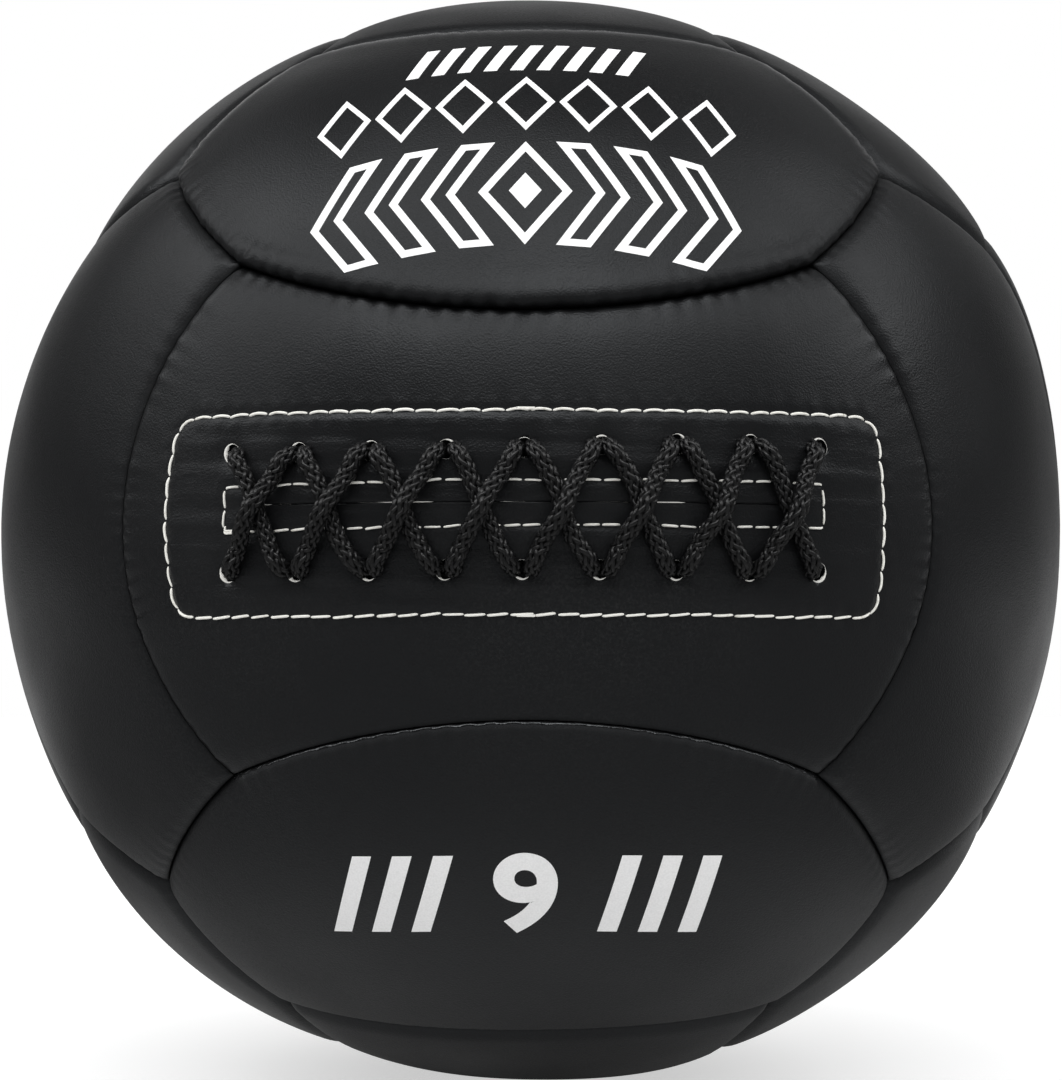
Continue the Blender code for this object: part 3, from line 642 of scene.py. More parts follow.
# Materials


def place(tree, kind, inputs=None, **settings):
    """Adds a node. A socket given as an input is linked to it, and anything else is its value."""
    node = tree.nodes.new(kind)
    for key, value in settings.items():
        setattr(node, key, value)
    for key, value in (inputs or {}).items():
        if isinstance(value, bpy.types.NodeSocket):
            tree.links.new(value, node.inputs[key])
        else:
            node.inputs[key].default_value = value
    return node


def feed(tree, node, **values):
    """Links values to a node's inputs, whose labels have their spaces written as underscores."""
    for label, value in values.items():
        tree.links.new(value, node.inputs[label.replace("_", " ")])


def maths(tree, operation, first, second=0.0, third=0.0):
    return place(tree, "ShaderNodeMath", {0: first, 1: second, 2: third}, operation=operation).outputs[0]


def ramp(tree, value, low, high, to_low=0.0, to_high=1.0):
    """Straight-line change of a value, held at its ends."""
    settings = {"Value": value, "From Min": low, "From Max": high, "To Min": to_low, "To Max": to_high}
    return place(tree, "ShaderNodeMapRange", settings, clamp=True).outputs["Result"]


def blend_colours(tree, factor, first, second):
    node = place(tree, "ShaderNodeMix", {"Factor": factor}, data_type="RGBA")
    for socket, value in ((node.inputs[6], first), (node.inputs[7], second)):
        if isinstance(value, bpy.types.NodeSocket):
            tree.links.new(value, socket)
        else:
            socket.default_value = (*value, 1)
    return node.outputs[2]


def own_place(tree):
    """The piece's own coordinates, which are the frame's."""
    return place(tree, "ShaderNodeTexCoord").outputs["Object"]


def stored(tree, name):
    """A value that keep_value stored."""
    return place(tree, "ShaderNodeAttribute", attribute_name=name).outputs["Fac"]


def noise(tree, where, scale, detail, roughness=0.5):
    inputs = {"Vector": where, "Scale": scale, "Detail": detail, "Roughness": roughness}
    return place(tree, "ShaderNodeTexNoise", inputs).outputs


def new_group(name, inputs, outputs):
    """A node group with number inputs and outputs: (tree, input sockets by name, output node)."""
    tree = bpy.data.node_groups.new(name, "ShaderNodeTree")
    for label, value in inputs.items():
        socket = tree.interface.new_socket(label, in_out="INPUT", socket_type="NodeSocketFloat")
        socket.default_value = value
    for label in outputs:
        tree.interface.new_socket(label, in_out="OUTPUT", socket_type="NodeSocketFloat")
    source, sink = tree.nodes.new("NodeGroupInput"), tree.nodes.new("NodeGroupOutput")
    return tree, source.outputs, sink


def grain_group():
    """Leather grain: pebbles with creases between them, over slow wrinkles."""
    tree, given, sink = new_group("leather_grain", {"Pebbles": 1100.0, "Wrinkles": 90.0}, ("Height", "Tone"))
    where = own_place(tree)
    drift = {0: noise(tree, where, 400.0, 2.0)["Color"], "Scale": 0.0006}
    moved = place(tree, "ShaderNodeVectorMath", drift, operation="SCALE").outputs[0]
    warped = place(tree, "ShaderNodeVectorMath", {0: where, 1: moved}, operation="ADD").outputs[0]
    cells = {"Vector": warped, "Scale": given["Pebbles"], "Randomness": 0.9}
    pebbles = place(tree, "ShaderNodeTexVoronoi", cells, feature="SMOOTH_F1").outputs["Distance"]
    tops = ramp(tree, pebbles, 0.0, 0.75, 1.0, 0.0)
    wrinkles = noise(tree, where, given["Wrinkles"], 5.0, 0.6)["Fac"]
    feed(tree, sink, Height=maths(tree, "MULTIPLY_ADD", wrinkles, 1.6, tops), Tone=tops)
    return tree


def dust_group():
    """Dust and scuffs: cloudy patches broken up by fine specks."""
    tree, given, sink = new_group("dust", {"Patches": 14.0, "Specks": 700.0, "Amount": 0.5}, ("Mask",))
    where = own_place(tree)
    patchy = ramp(tree, noise(tree, where, given["Patches"], 4.0, 0.6)["Fac"], 0.42, 0.72)
    speckled = ramp(tree, noise(tree, where, given["Specks"], 2.0)["Fac"], 0.45, 0.75)
    feed(tree, sink, Mask=maths(tree, "MULTIPLY", maths(tree, "MULTIPLY", patchy, speckled), given["Amount"]))
    return tree


def lines_group(name, fineness, detail, scales):
    """Fine lines: noise drawn out along the axes whose scale is small."""
    tree, given, sink = new_group(name, {"Fineness": fineness}, ("Height",))
    drawn = {"Vector": own_place(tree), "Scale": scales}
    drawn_out = place(tree, "ShaderNodeMapping", drawn, vector_type="POINT").outputs[0]
    feed(tree, sink, Height=noise(tree, drawn_out, given["Fineness"], detail)["Fac"])
    return tree


GRAIN, DUST = grain_group(), dust_group()
FIBRES = lines_group("fibres", 2500.0, 3.0, (1.0, 1.0, 0.25))
CREASES = lines_group("creases", 500.0, 4.0, (0.10, 0.3, 1.0))  # they run across the front


def use_group(tree, group, **inputs):
    """Adds a shared node group with its inputs set, and gives its outputs."""
    node = tree.nodes.new("ShaderNodeGroup")
    node.node_tree = group
    for label, value in inputs.items():
        node.inputs[label].default_value = value
    return node.outputs


def start_material(name, colour, **values):
    """A material whose Principled shader has its plain values set: (material, tree, shader)."""
    material = bpy.data.materials.new(name)
    material.use_nodes = True
    tree = material.node_tree
    shader = tree.nodes["Principled BSDF"]
    shader.inputs["Base Color"].default_value = (*colour, 1)
    for label, value in values.items():
        shader.inputs[label.replace("_", " ")].default_value = value
    return material, tree, shader


def bump(tree, shader, height, distance, strength):
    node = place(tree, "ShaderNodeBump", {"Height": height, "Distance": distance, "Strength": strength})
    feed(tree, shader, Normal=node.outputs[0])


def cover_leather(name):
    """Black synthetic leather with a satin face: finely grained and a little dusty.

    It has painted shade down in its seams, a near-black colour and a weaker reflection there, and is shinier
    where their shoulders are rubbed.
    """
    material, tree, shader = start_material(name, (0.010, 0.010, 0.0105), Specular_IOR_Level=0.44)
    shader.inputs["Specular Tint"].default_value = (0.93, 0.965, 1.0, 1)
    seam, rubbed, laced = (stored(tree, value) for value in ("seam", "rubbed", "laced"))
    grain = use_group(tree, GRAIN, Pebbles=1900.0, Wrinkles=60.0)
    dust = use_group(tree, DUST, Patches=11.0, Specks=1300.0, Amount=0.22)["Mask"]
    tone = blend_colours(tree, grain["Tone"], (0.0042, 0.0043, 0.0048), (0.0066, 0.0067, 0.0074))
    dusty = blend_colours(tree, dust, tone, (0.05, 0.05, 0.049))
    # Painted shade: the colour turns near-black close to each seam.
    colour = blend_colours(tree, ramp(tree, seam, 0.75, 1.0, 0.0, 0.6), dusty, (0.003, 0.003, 0.003))
    clouds = ramp(tree, noise(tree, own_place(tree), 16.0, 2.0)["Fac"], 0.3, 0.7, -0.08, 0.08)
    rough = maths(tree, "MULTIPLY_ADD", rubbed, -0.16, ramp(tree, grain["Tone"], 0.0, 1.0, 0.47, 0.37))
    rough = maths(tree, "MULTIPLY_ADD", dust, 0.4, maths(tree, "ADD", rough, clouds))
    # Painted shade: the reflection is weaker close to each seam, while rubbed shoulders reflect more.
    level = maths(tree, "MULTIPLY_ADD", rubbed, 0.30, ramp(tree, seam, 0.72, 0.95, 0.44, 0.28))
    feed(tree, shader, Base_Color=colour, Roughness=rough, Specular_IOR_Level=level)
    creases = maths(tree, "MULTIPLY", use_group(tree, CREASES, Fineness=520.0)["Height"], laced)
    bump(tree, shader, maths(tree, "MULTIPLY_ADD", creases, 2.2, grain["Height"]), 0.000075, 0.9)
    return material


def braided_cord(name):
    """Black polyester yarn: matte between its fibres, with shiny ones that catch the light."""
    material, tree, shader = start_material(name, (0.012, 0.012, 0.012), Specular_IOR_Level=0.6)
    fibres = use_group(tree, FIBRES, Fineness=3200.0)["Height"]
    shiny = ramp(tree, fibres, 0.50, 0.80)
    colour = blend_colours(tree, shiny, (0.0026, 0.0026, 0.0030), (0.017, 0.017, 0.018))
    feed(tree, shader, Base_Color=colour, Roughness=ramp(tree, fibres, 0.3, 0.7, 0.46, 0.26))
    bump(tree, shader, fibres, 0.00012, 0.8)
    return material


def white_thread(name):
    """Off-white sewing thread with a slight soil."""
    material, tree, shader = start_material(name, (0.80, 0.79, 0.74), Roughness=0.6)
    dust = use_group(tree, DUST, Patches=60.0, Specks=900.0, Amount=0.9)["Mask"]
    feed(tree, shader, Base_Color=blend_colours(tree, dust, (0.86, 0.85, 0.80), (0.42, 0.40, 0.33)))
    bump(tree, shader, use_group(tree, FIBRES, Fineness=3500.0)["Height"], 0.00008, 0.7)
    return material


def cut_backing(name):
    """The pale cloth backing of the leather, seen where a hole is cut."""
    material, tree, shader = start_material(name, (0.75, 0.74, 0.70), Roughness=0.85)
    fibres = use_group(tree, FIBRES, Fineness=3000.0)["Height"]
    feed(tree, shader, Base_Color=blend_colours(tree, fibres, (0.55, 0.54, 0.50), (0.92, 0.91, 0.88)))
    bump(tree, shader, fibres, 0.0001, 0.8)
    return material


def print_ink(name):
    """White printed ink with the leather's grain showing through it."""
    material, tree, shader = start_material(name, (0.92, 0.92, 0.92), Roughness=0.5)
    grain = use_group(tree, GRAIN, Pebbles=1900.0, Wrinkles=60.0)
    feed(tree, shader, Base_Color=blend_colours(tree, grain["Tone"], (0.86, 0.86, 0.86), (0.96, 0.96, 0.96)))
    bump(tree, shader, grain["Height"], 0.00003, 0.6)
    return material


def stuffing(name, dark, light, fineness, depth):
    """Foam, canvas, fibre or shot: mottled between two colours, with a bump of the same grain."""
    material, tree, shader = start_material(name, light, Roughness=0.9)
    mottle = noise(tree, own_place(tree), fineness, 3.0)["Fac"]
    feed(tree, shader, Base_Color=blend_colours(tree, mottle, dark, light))
    bump(tree, shader, mottle, depth, 0.8)
    return material


# The cover


def spread_stations(length, step, marks=()):
    """Stations from 0 to 1 over a length: close by both ends, and then a step apart."""
    middle = np.linspace(EDGE_STEPS[-1], length - EDGE_STEPS[-1], max(3, round(length / step)))[1:-1]
    places = np.concatenate([EDGE_STEPS, middle, length - EDGE_STEPS])
    return np.unique(np.concatenate([places / length, marks]))


def all_strips():
    """The eighteen strips by name."""
    strips = {}
    for face in FACES:
        fine = face.name == "front"
        name = face.name + "_panel"
        strips[name] = Strip(name, lambda u, v, f=face: centre_sides(f, u, v), fine)
        for side, side_name in zip((-1, 1), face.side_names):
            name = f"{face.name}_{side_name}_panel"
            seen = fine or side_name == "front"
            strips[name] = Strip(name, lambda u, v, f=face, s=side: side_sides(f, s, u, v), seen)
    return strips


def cover_panel(strip, material):
    """A padded panel: its outside from strip.radius, its inside at the cover's depth or the laced skin's."""
    step = 0.0012 if strip.fine else 0.0024
    marks = () if is_centre(strip.name) else (CORNER_SHARE, 1 - CORNER_SHARE)
    u = spread_stations(0.215, step, marks)
    v = spread_stations(0.125 if is_centre(strip.name) else 0.080, step)
    ways = fill_patch(u, v, strip.sides(u, v))
    measured = strip.measure(ways)
    radius = strip.radius(ways, measured)
    outer = CENTRE + strip.hung_over(ways, measured) * radius[..., None]
    outer[..., 2] = np.maximum(outer[..., 2], 0)
    laced = np.zeros(ways.shape[:2])
    if strip.name == "front_panel":
        laced = within(PATCH_SEWING.off_line(*front_place(ways)), PATCH_EDGE)
    depth = COVER_DEPTH - (COVER_DEPTH - SKIN_DEPTH) * laced
    inside = np.minimum(outside_radius(ways) - depth, radius - LEAST_THICKNESS)
    points, faces = shell(outer, CENTRE + ways * inside[..., None])
    panel = mesh_object(strip.name + "_skin", points, faces, material, strip.name)
    # seam: closeness to the nearest seam, which the leather reads for painted shade in its seams
    keep_value(panel, "seam", np.exp(-measured[0].min(0) / SEAM_SHADE), 1)
    keep_value(panel, "laced", laced, laced)
    keep_value(panel, "rubbed", strip.rubbed(measured[0]), 0)
    return panel


def add_prism(shape, outline):
    """Adds a closed prism to a bmesh: an outline of places on the front panel, through its skin."""
    ways = front_way(*outline.T)
    rings = []
    for height in (0.010, -0.010):
        places = CENTRE + ways * (outside_radius(ways) + height)[:, None]
        rings.append([shape.verts.new(p) for p in places])
    count = len(outline)
    for k in range(count):
        n = (k + 1) % count
        shape.faces.new((rings[0][k], rings[0][n], rings[1][n], rings[1][k]))
    for ring, order in ((rings[0], 1), (rings[1], -1)):
        for k in range(count // 2 - 1):
            m = count - 1 - k
            shape.faces.new((ring[k + 1], ring[k], ring[m], ring[m - 1])[::order])


def cut_lacing(panel):
    """Opens the lace holes and the slit through the front panel."""
    cutter = bmesh.new()
    turn = np.linspace(0, 2 * math.pi, 32, endpoint=False) + math.pi / 32
    oval = np.stack([np.cos(turn) * HOLE_WIDTH / 2, np.sin(turn) * HOLE_HEIGHT / 2], axis=-1)
    for middle in hole_places().reshape(-1, 2):
        add_prism(cutter, middle + oval)
    along = np.linspace(-1, 1, 96)
    opening = SLIT_WIDTH / 2 * (1 - along**8) * (1 + 0.5 * waves(along, (0.31, 0.19, 0.47), 21)) + 0.00003
    slit = np.concatenate([np.stack([along, opening], -1), np.stack([along, -opening], -1)[::-1]])
    add_prism(cutter, slit * [SLIT_LENGTH / 2, 1] + [0, SLIT_RISE])
    bmesh.ops.recalc_face_normals(cutter, faces=cutter.faces)
    mesh = bpy.data.meshes.new("lacing_cutter")
    cutter.to_mesh(mesh)
    cutter.free()
    tool = add_object("lacing_cutter", mesh)
    modifier = panel.modifiers.new("open", "BOOLEAN")
    modifier.object = tool
    modifier.operation = "DIFFERENCE"
    opened = finished_mesh(panel)
    panel.modifiers.clear()
    panel.data = opened
    bpy.data.objects.remove(tool)


def front_sheet(name, size, top, bottom, material):
    """A sheet behind the front panel, between two depths: front_way over a grid of across and up."""
    across = np.linspace(-size[0] / 2, size[0] / 2, 121)[:, None]
    up = np.linspace(-size[1] / 2, size[1] / 2, 31)[None]
    ways = front_way(*np.broadcast_arrays(across, up))
    radius = outside_radius(ways)
    wave = 0.0001 * waves(across + 0.4 * up, (0.017, 0.029), 31)
    outer = CENTRE + ways * (radius - top + wave)[..., None]
    inner = CENTRE + ways * (radius - bottom + wave)[..., None]
    points, faces = shell(outer, inner)
    return mesh_object(name + "_skin", points, faces, material, name)


# The lacing


def hole_at(column, row, side):
    """Where a strand lies in a lace hole: to one side of its middle."""
    return hole_places()[column, (row + 1) // 2] + [side * LACE_SPREAD, 0]


def laid_over(start, finish, over):
    """Knots of an outer pass between two holes: across, up and height, a little steeper at its middle."""
    low = LACE_RADIUS + 0.0001
    top = low + (1.7 * LACE_RADIUS if over else -0.0003)
    bend = 0.03 if over else 0.10
    t = np.array([-0.86, -0.60, -0.30, 0, 0.30, 0.60, 0.86])
    rise = np.array([0, 0.06, 0.62, 1, 0.62, 0.06, 0])
    half = (finish - start) / 2
    across = half[0] * (t - bend * np.sin(math.pi * t))
    spots = (start + finish) / 2 + np.stack([across, half[1] * t], axis=-1)
    return [(*spot, low + (top - low) * r) for spot, r in zip(spots, rise)]


def laid_under(start, finish, depth):
    run = (finish - start) / np.linalg.norm(finish - start)
    spots = (start + run * UNDER_TURN, (start + finish) / 2, finish - run * UNDER_TURN)
    return [(*spot, -depth) for spot in spots]


def lace_knots():
    """The whole lace: from its right end it crosses the lacing to the left, turns and comes back."""
    in_hole, first_depth, second_depth = -0.0020, 0.0072, 0.0112
    last = LACE_HOLES - 1
    start = hole_at(last, 1, -1)
    knots = [(start[0], LACE_END, -first_depth), (start[0], start[1] - UNDER_TURN, -first_depth)]
    knots.append((*start, in_hole))
    for column in range(last, 0, -1):
        into, out = hole_at(column - 1, -1, 1), hole_at(column - 1, 1, -1 if column > 1 else 1)
        knots += laid_over(hole_at(column, 1, -1), into, True)
        knots += [(*into, in_hole), *laid_under(into, out, second_depth if column > 1 else first_depth)]
        knots.append((*out, in_hole))
    for column in range(last):
        into, out = hole_at(column + 1, -1, -1), hole_at(column + 1, 1, 1)
        knots += [*laid_over(hole_at(column, 1, 1), into, False), (*into, in_hole)]
        if column + 1 < last:
            knots += [*laid_under(into, out, first_depth), (*out, in_hole)]
    stop = hole_at(last, -1, -1)
    knots += [(stop[0], stop[1] + UNDER_TURN, -first_depth), (stop[0], -LACE_END, -first_depth)]
    return np.array(knots)


def smooth_path(knots, step):
    """A Catmull-Rom curve through the knots, read off at even steps of its length."""
    ends = np.concatenate([[2 * knots[0] - knots[1]], knots, [2 * knots[-1] - knots[-2]]])
    t = np.linspace(0, 1, 24, endpoint=False)[:, None, None]
    a, b, c, d = (ends[k : k + len(knots) - 1] for k in range(4))
    curve = 0.5 * (2 * b + (c - a) * t + (2 * a - 5 * b + 4 * c - d) * t**2 + (3 * b - a - 3 * c + d) * t**3)
    curve = np.concatenate([curve.transpose(1, 0, 2).reshape(-1, 3), knots[-1:]])
    length = np.concatenate([[0], np.cumsum(np.linalg.norm(np.diff(curve, axis=0), axis=1))])
    stops = np.linspace(0, length[-1], round(length[-1] / step))
    return np.stack([np.interp(stops, length, curve[:, k]) for k in range(3)], axis=-1), stops


def braided_lace(material):
    """The lace: twelve yarns wound both ways round its path, in and out of each other, over a core.

    A yarn lies at the angle 2 pi (s / pitch + k / 6), or its mirror image, and at the radius
    r + a cos(12 pi s / pitch), or r - a cos, so that the two ways cross over and under by turns.
    """
    path, along = smooth_path(lace_knots(), 0.0005)
    path[:, 0] += 0.00035 * waves(along, (0.031, 0.047, 0.019), 41)
    path[:, 1] += 0.00020 * waves(along, (0.027, 0.039), 42)
    ways = front_way(path[:, 0], path[:, 1])
    centre = CENTRE + ways * (outside_radius(ways) + path[:, 2] + lumps(ways))[:, None]
    turn = path[:, 0] / FRONT_RADIUS
    across = np.stack([np.cos(turn), np.sin(turn), np.zeros_like(turn)], axis=-1)
    run = unit(np.gradient(centre, axis=0))
    side = unit(across - (across * run).sum(-1, keepdims=True) * run)
    other = np.cross(run, side)
    weave = np.cos(12 * math.pi * along / BRAID_PITCH)
    yarns = (("left", 1, 0), ("left_second", 1, 3), ("right", -1, 0), ("right_second", -1, 3))
    for label, way, first in yarns:
        angle = way * 2 * math.pi * (along / BRAID_PITCH + (first + np.arange(3)[:, None]) / 6)
        reach = LACE_RADIUS - 0.00092 + way * 0.00032 * weave
        offset = np.cos(angle)[..., None] * side + np.sin(angle)[..., None] * other
        paths = centre + offset * reach[:, None]
        radii = YARN_RADIUS * (1 + 0.10 * waves(along + 0.01 * way * first, (0.0041, 0.0093, 0.019), 43))
        radii = np.broadcast_to(radii, paths.shape[:2])
        capped_tubes("lace_yarns_" + label, paths, radii, 6, offset, material, "lace")
    core = centre[None, ::2]
    radii = np.full(core.shape[:2], CORE_RADIUS)
    capped_tubes("lace_core", core, radii, 8, across[None, ::2], material, "lace")


def sewn_places(sewing):
    """Places along a sewn line as a true rectangle, and how far along it they are, from its upper right."""
    corner = np.linspace(0, math.pi / 2, CORNER_STATIONS)
    places = []
    for sx, sy, begin in ((1, 1, 0), (-1, 1, 0.5), (-1, -1, 1), (1, -1, 1.5)):
        middle = np.array([sx * (sewing.width / 2 - sewing.radius), sy * (sewing.height / 2 - sewing.radius)])
        angle = corner + begin * math.pi
        places.append(middle + sewing.radius * np.stack([np.cos(angle), np.sin(angle)], -1))
    places = np.concatenate([*places, places[0][:1]])
    return places, np.concatenate([[0], np.cumsum(np.linalg.norm(np.diff(places, axis=0), axis=1))])


def stitches(name, node, sewing, stitch, front, material):
    """Single stitches along a sewn line: short fat threads whose ends dip into the leather.

    Along a stitch t runs from -1 to 1. It leans off the line by slant t, its height is h (1 - t^4) - dip t^4,
    and its radius is r (1 - t^8)^(1/2). Other than on the lower side it bows out by arch (1/2 - t^2) instead.
    """
    share, radius, slant, arch, again = stitch
    places, distance = sewn_places(sewing)
    count = round(distance[-1] / sewing.pitch)
    rng = np.random.default_rng(len(name))
    t = np.linspace(-1, 1, 13)
    middle = (np.arange(count) + 0.5) * distance[-1] / count + rng.normal(0, 0.02, count) * sewing.pitch
    lower_left = distance[3 * CORNER_STATIONS - 1]
    middle = np.concatenate([middle, lower_left + 0.0016 * np.arange(again)])
    beside = np.concatenate([np.zeros(count), np.full(again, -0.0006) + 0.0004 * (np.arange(again) % 2)])
    count += again
    length = sewing.pitch * share * (1 + rng.normal(0, 0.03, count))
    stops = (middle[:, None] + t * length[:, None] / 2) % distance[-1]
    across = np.interp(stops, distance, places[:, 0])
    up = np.interp(stops, distance, places[:, 1])
    run = unit(np.stack([np.gradient(across, axis=1), np.gradient(up, axis=1)], axis=-1))
    lean = (slant + rng.normal(0, 0.00008, count)[:, None]) * t
    lean = lean + 0.00016 * waves(stops, (0.019, 0.043, 0.071), 51)
    bowed = lean - slant * t * 0.6 - arch * (0.5 - t**2)
    lean = np.where(run[..., 0] < 0.7, bowed, lean) - beside[:, None]
    across, up = sewing.stray(across - run[..., 1] * lean, up + run[..., 0] * lean)
    height = radius * 0.7 * (1 - t**4) - radius * 1.3 * t**4
    ways = front_way(across, up)
    paths = front.point(ways, np.broadcast_to(height, across.shape))
    thickness = radius * (1 + rng.normal(0, 0.06, count))[:, None] * np.sqrt(np.maximum(1 - t**8, 0.05))
    capped_tubes(name, paths, thickness, 8, ways, material, node)


def hole_edges(front, material):
    """The pale cut edge that shows round part of each lace hole: a ring that is thickest at one side.

    The ring is w cos a, h sin a about the hole's middle. Its section is r s (0.1 + cos^8((a - b) / 2)) and
    frayed. By column, lower and upper, sides gives b in degrees and shares gives s.
    """
    sides = (215, 165, 215, 150, 235, 120, 225, 45, 240, 90, 240, 100, 240, 30, 260, 120, 300, 130)
    shares = (1, 1, 1, 0.7, 0.7, 0.4, 0.6, 0.6, 0.8, 0.2, 0.8, 0.6, 0.7, 0.6, 0.5, 0.4, 0.9, 0.8)
    turn = np.linspace(0, 2 * math.pi, 41)
    rng = np.random.default_rng(61)
    paths, sizes = [], []
    for middle, side, share in zip(hole_places().reshape(-1, 2), sides, shares):
        facing = np.cos((turn - math.radians(side)) / 2) ** 8
        fray = 1 + 0.25 * np.sin(turn * 5 + rng.uniform(0, 6.28)) * np.sin(turn * 3 + rng.uniform(0, 6.28))
        size = 0.00056 * share * (0.10 + facing) * fray
        across = middle[0] + (HOLE_WIDTH / 2 - size * 0.5) * np.cos(turn)
        up = middle[1] + (HOLE_HEIGHT / 2 - size * 0.5) * np.sin(turn)
        paths.append(front.point(front_way(across, up), -size * 0.6))
        sizes.append(size)
    paths, sizes = np.array(paths), np.array(sizes)
    sizes[:, -1] = sizes[:, 0]
    capped_tubes("hole_edges", paths, sizes, 8, np.broadcast_to(-Y_AXIS, paths.shape), material)


def slit_edge(front, material):
    """The pale cut edge that shows here and there along the slit's upper lip."""
    across = np.linspace(-0.97, 0.97, 240) * SLIT_LENGTH / 2
    shows = np.clip(waves(across, (0.037, 0.023, 0.061), 71) - 0.25, 0.02, 0.7)
    ways = front_way(across, np.full(across.shape, SLIT_RISE + SLIT_WIDTH / 2 + 0.0001))
    path = front.point(ways, 0.00006)
    capped_tubes("slit_edge", path[None], 0.00022 * shows[None], 6, ways[None], material)


# The print


def printed(name, flat, strip, middle_up, material):
    """A flat drawing laid on a panel: its x runs across and its y up from a height over the ball's middle."""
    for axis in (0, 1):
        reach = max(abs(v.co[axis]) for v in flat.verts) + 0.001
        for cut in np.arange(-reach, reach, 0.0035):
            spot, normal = [0.0, 0.0, 0.0], [0.0, 0.0, 0.0]
            spot[axis], normal[axis] = cut, 1.0
            parts = flat.verts[:] + flat.edges[:] + flat.faces[:]
            bmesh.ops.bisect_plane(flat, geom=parts, plane_co=spot, plane_no=normal, dist=1e-7)
    bmesh.ops.triangulate(flat, faces=flat.faces)
    flat.verts.index_update()
    places = np.array([v.co[:] for v in flat.verts])
    faces = np.array([[v.index for v in f.verts] for f in flat.faces])
    borders = np.array([[v.index for v in e.verts] for e in flat.edges if e.is_boundary])
    flat.free()
    up = middle_up + places[:, 1]
    ways = front_way(places[:, 0] / np.cos(up / FRONT_RADIUS), up)
    points = np.concatenate([strip.point(ways, INK_DEPTH), strip.point(ways, -INK_DEPTH)])
    count = len(places)
    a, b = borders.T
    walls = np.concatenate([np.stack([a, b, b + count], -1), np.stack([a, b + count, a + count], -1)])
    faces = np.concatenate([faces, faces[:, ::-1] + count, walls])
    made = mesh_object(name, points, faces, material)
    closed = bmesh.new()
    closed.from_mesh(made.data)
    bmesh.ops.recalc_face_normals(closed, faces=closed.faces)
    closed.to_mesh(made.data)
    closed.free()
    made.data.shade_smooth()
    made.data.set_sharp_from_angle(angle=math.radians(50))


def polygon(flat, corners):
    flat.faces.new([flat.verts.new((x, y, 0)) for x, y in corners])


def outlined(flat, corners, width):
    """A closed line of even width just inside a polygon, mitred at its corners."""
    corners = np.array(corners)
    run = unit(np.roll(corners, -1, axis=0) - corners)
    inward = np.stack([-run[:, 1], run[:, 0]], -1)
    if ((corners.mean(0) - corners[0]) * (inward[0] + np.roll(inward, 1, axis=0)[0])).sum() < 0:
        inward = -inward
    before = np.roll(inward, 1, axis=0)
    inside = corners + width * (inward + before) / (1 + (inward * before).sum(-1, keepdims=True))
    outer = [flat.verts.new((x, y, 0)) for x, y in corners]
    inner = [flat.verts.new((x, y, 0)) for x, y in inside]
    for k in range(len(outer)):
        n = (k + 1) % len(outer)
        flat.faces.new((outer[k], outer[n], inner[n], inner[k]))


def arched(places):
    """Places of a drawing, bent down towards its sides."""
    return [(x, y - ARCH * x**2) for x, y in places]


def slanted_bar(x, y, foot, toe, rise):
    """The corners of a leaning bar: foot to toe left of a place below, and as far right of it above."""
    return [(x - foot, y - rise), (x - toe, y - rise), (x + foot, y + rise), (x + toe, y + rise)]


def lozenge(x, y, half_width, half_height):
    return [(x - half_width, y), (x, y - half_height), (x + half_width, y), (x, y + half_height)]


def chevron_print():
    """A plain pattern in rows: slanted bars, outlined lozenges, and chevrons to both sides of a diamond."""
    flat = bmesh.new()
    low, middle, top = -0.0440, -0.0260, -0.0080
    outlined(flat, arched(lozenge(0.0, middle, 0.0130, top - middle)), 0.0022)
    polygon(flat, arched(lozenge(0.0, middle, 0.0045, 0.0062)))
    for k in range(3):
        near = 0.0085 + 0.0160 * k
        far, tip = near + 0.0095, 0.0110
        inner, outer = (near + tip, middle), (far + tip, middle)
        corners = [(near, low), (far, low), outer, (far, top), (near, top), inner]
        for side in (-1, 1):
            outlined(flat, arched([(side * x, y) for x, y in corners]), 0.0022)
    for k in range(7):
        outlined(flat, arched(lozenge((k - 3) * 0.0176, 0.0092, 0.0082, 0.0125)), 0.0017)
    for k in range(9):
        polygon(flat, arched(slanted_bar((k - 4) * 0.0076, 0.0335, 0.0048, 0.0010, 0.008)))
    return flat


def number_print():
    """The plain number 9 between slanted bars. It is a 6 turned half round, which thickens cleanly."""
    curve = bpy.data.curves.new("number", "FONT")
    curve.body = "6"
    curve.size = 0.037
    curve.offset = 0.0011
    curve.align_x = "CENTER"
    curve.align_y = "CENTER"
    holder = add_object("number", curve)
    flat = bmesh.new()
    flat.from_mesh(finished_mesh(holder))
    bpy.data.objects.remove(holder)
    bmesh.ops.remove_doubles(flat, verts=flat.verts, dist=1e-6)
    bmesh.ops.scale(flat, vec=(-1, -1, 1), verts=flat.verts)
    places = np.array([v.co[:] for v in flat.verts])
    bmesh.ops.translate(flat, vec=-(places.min(0) + places.max(0)) / 2, verts=flat.verts)
    for x in (-0.0490, -0.0375, -0.0260, 0.0260, 0.0375, 0.0490):
        polygon(flat, slanted_bar(x, 0, 0.0062, 0.0007, 0.0135))
    return flat


# Floor, light and camera


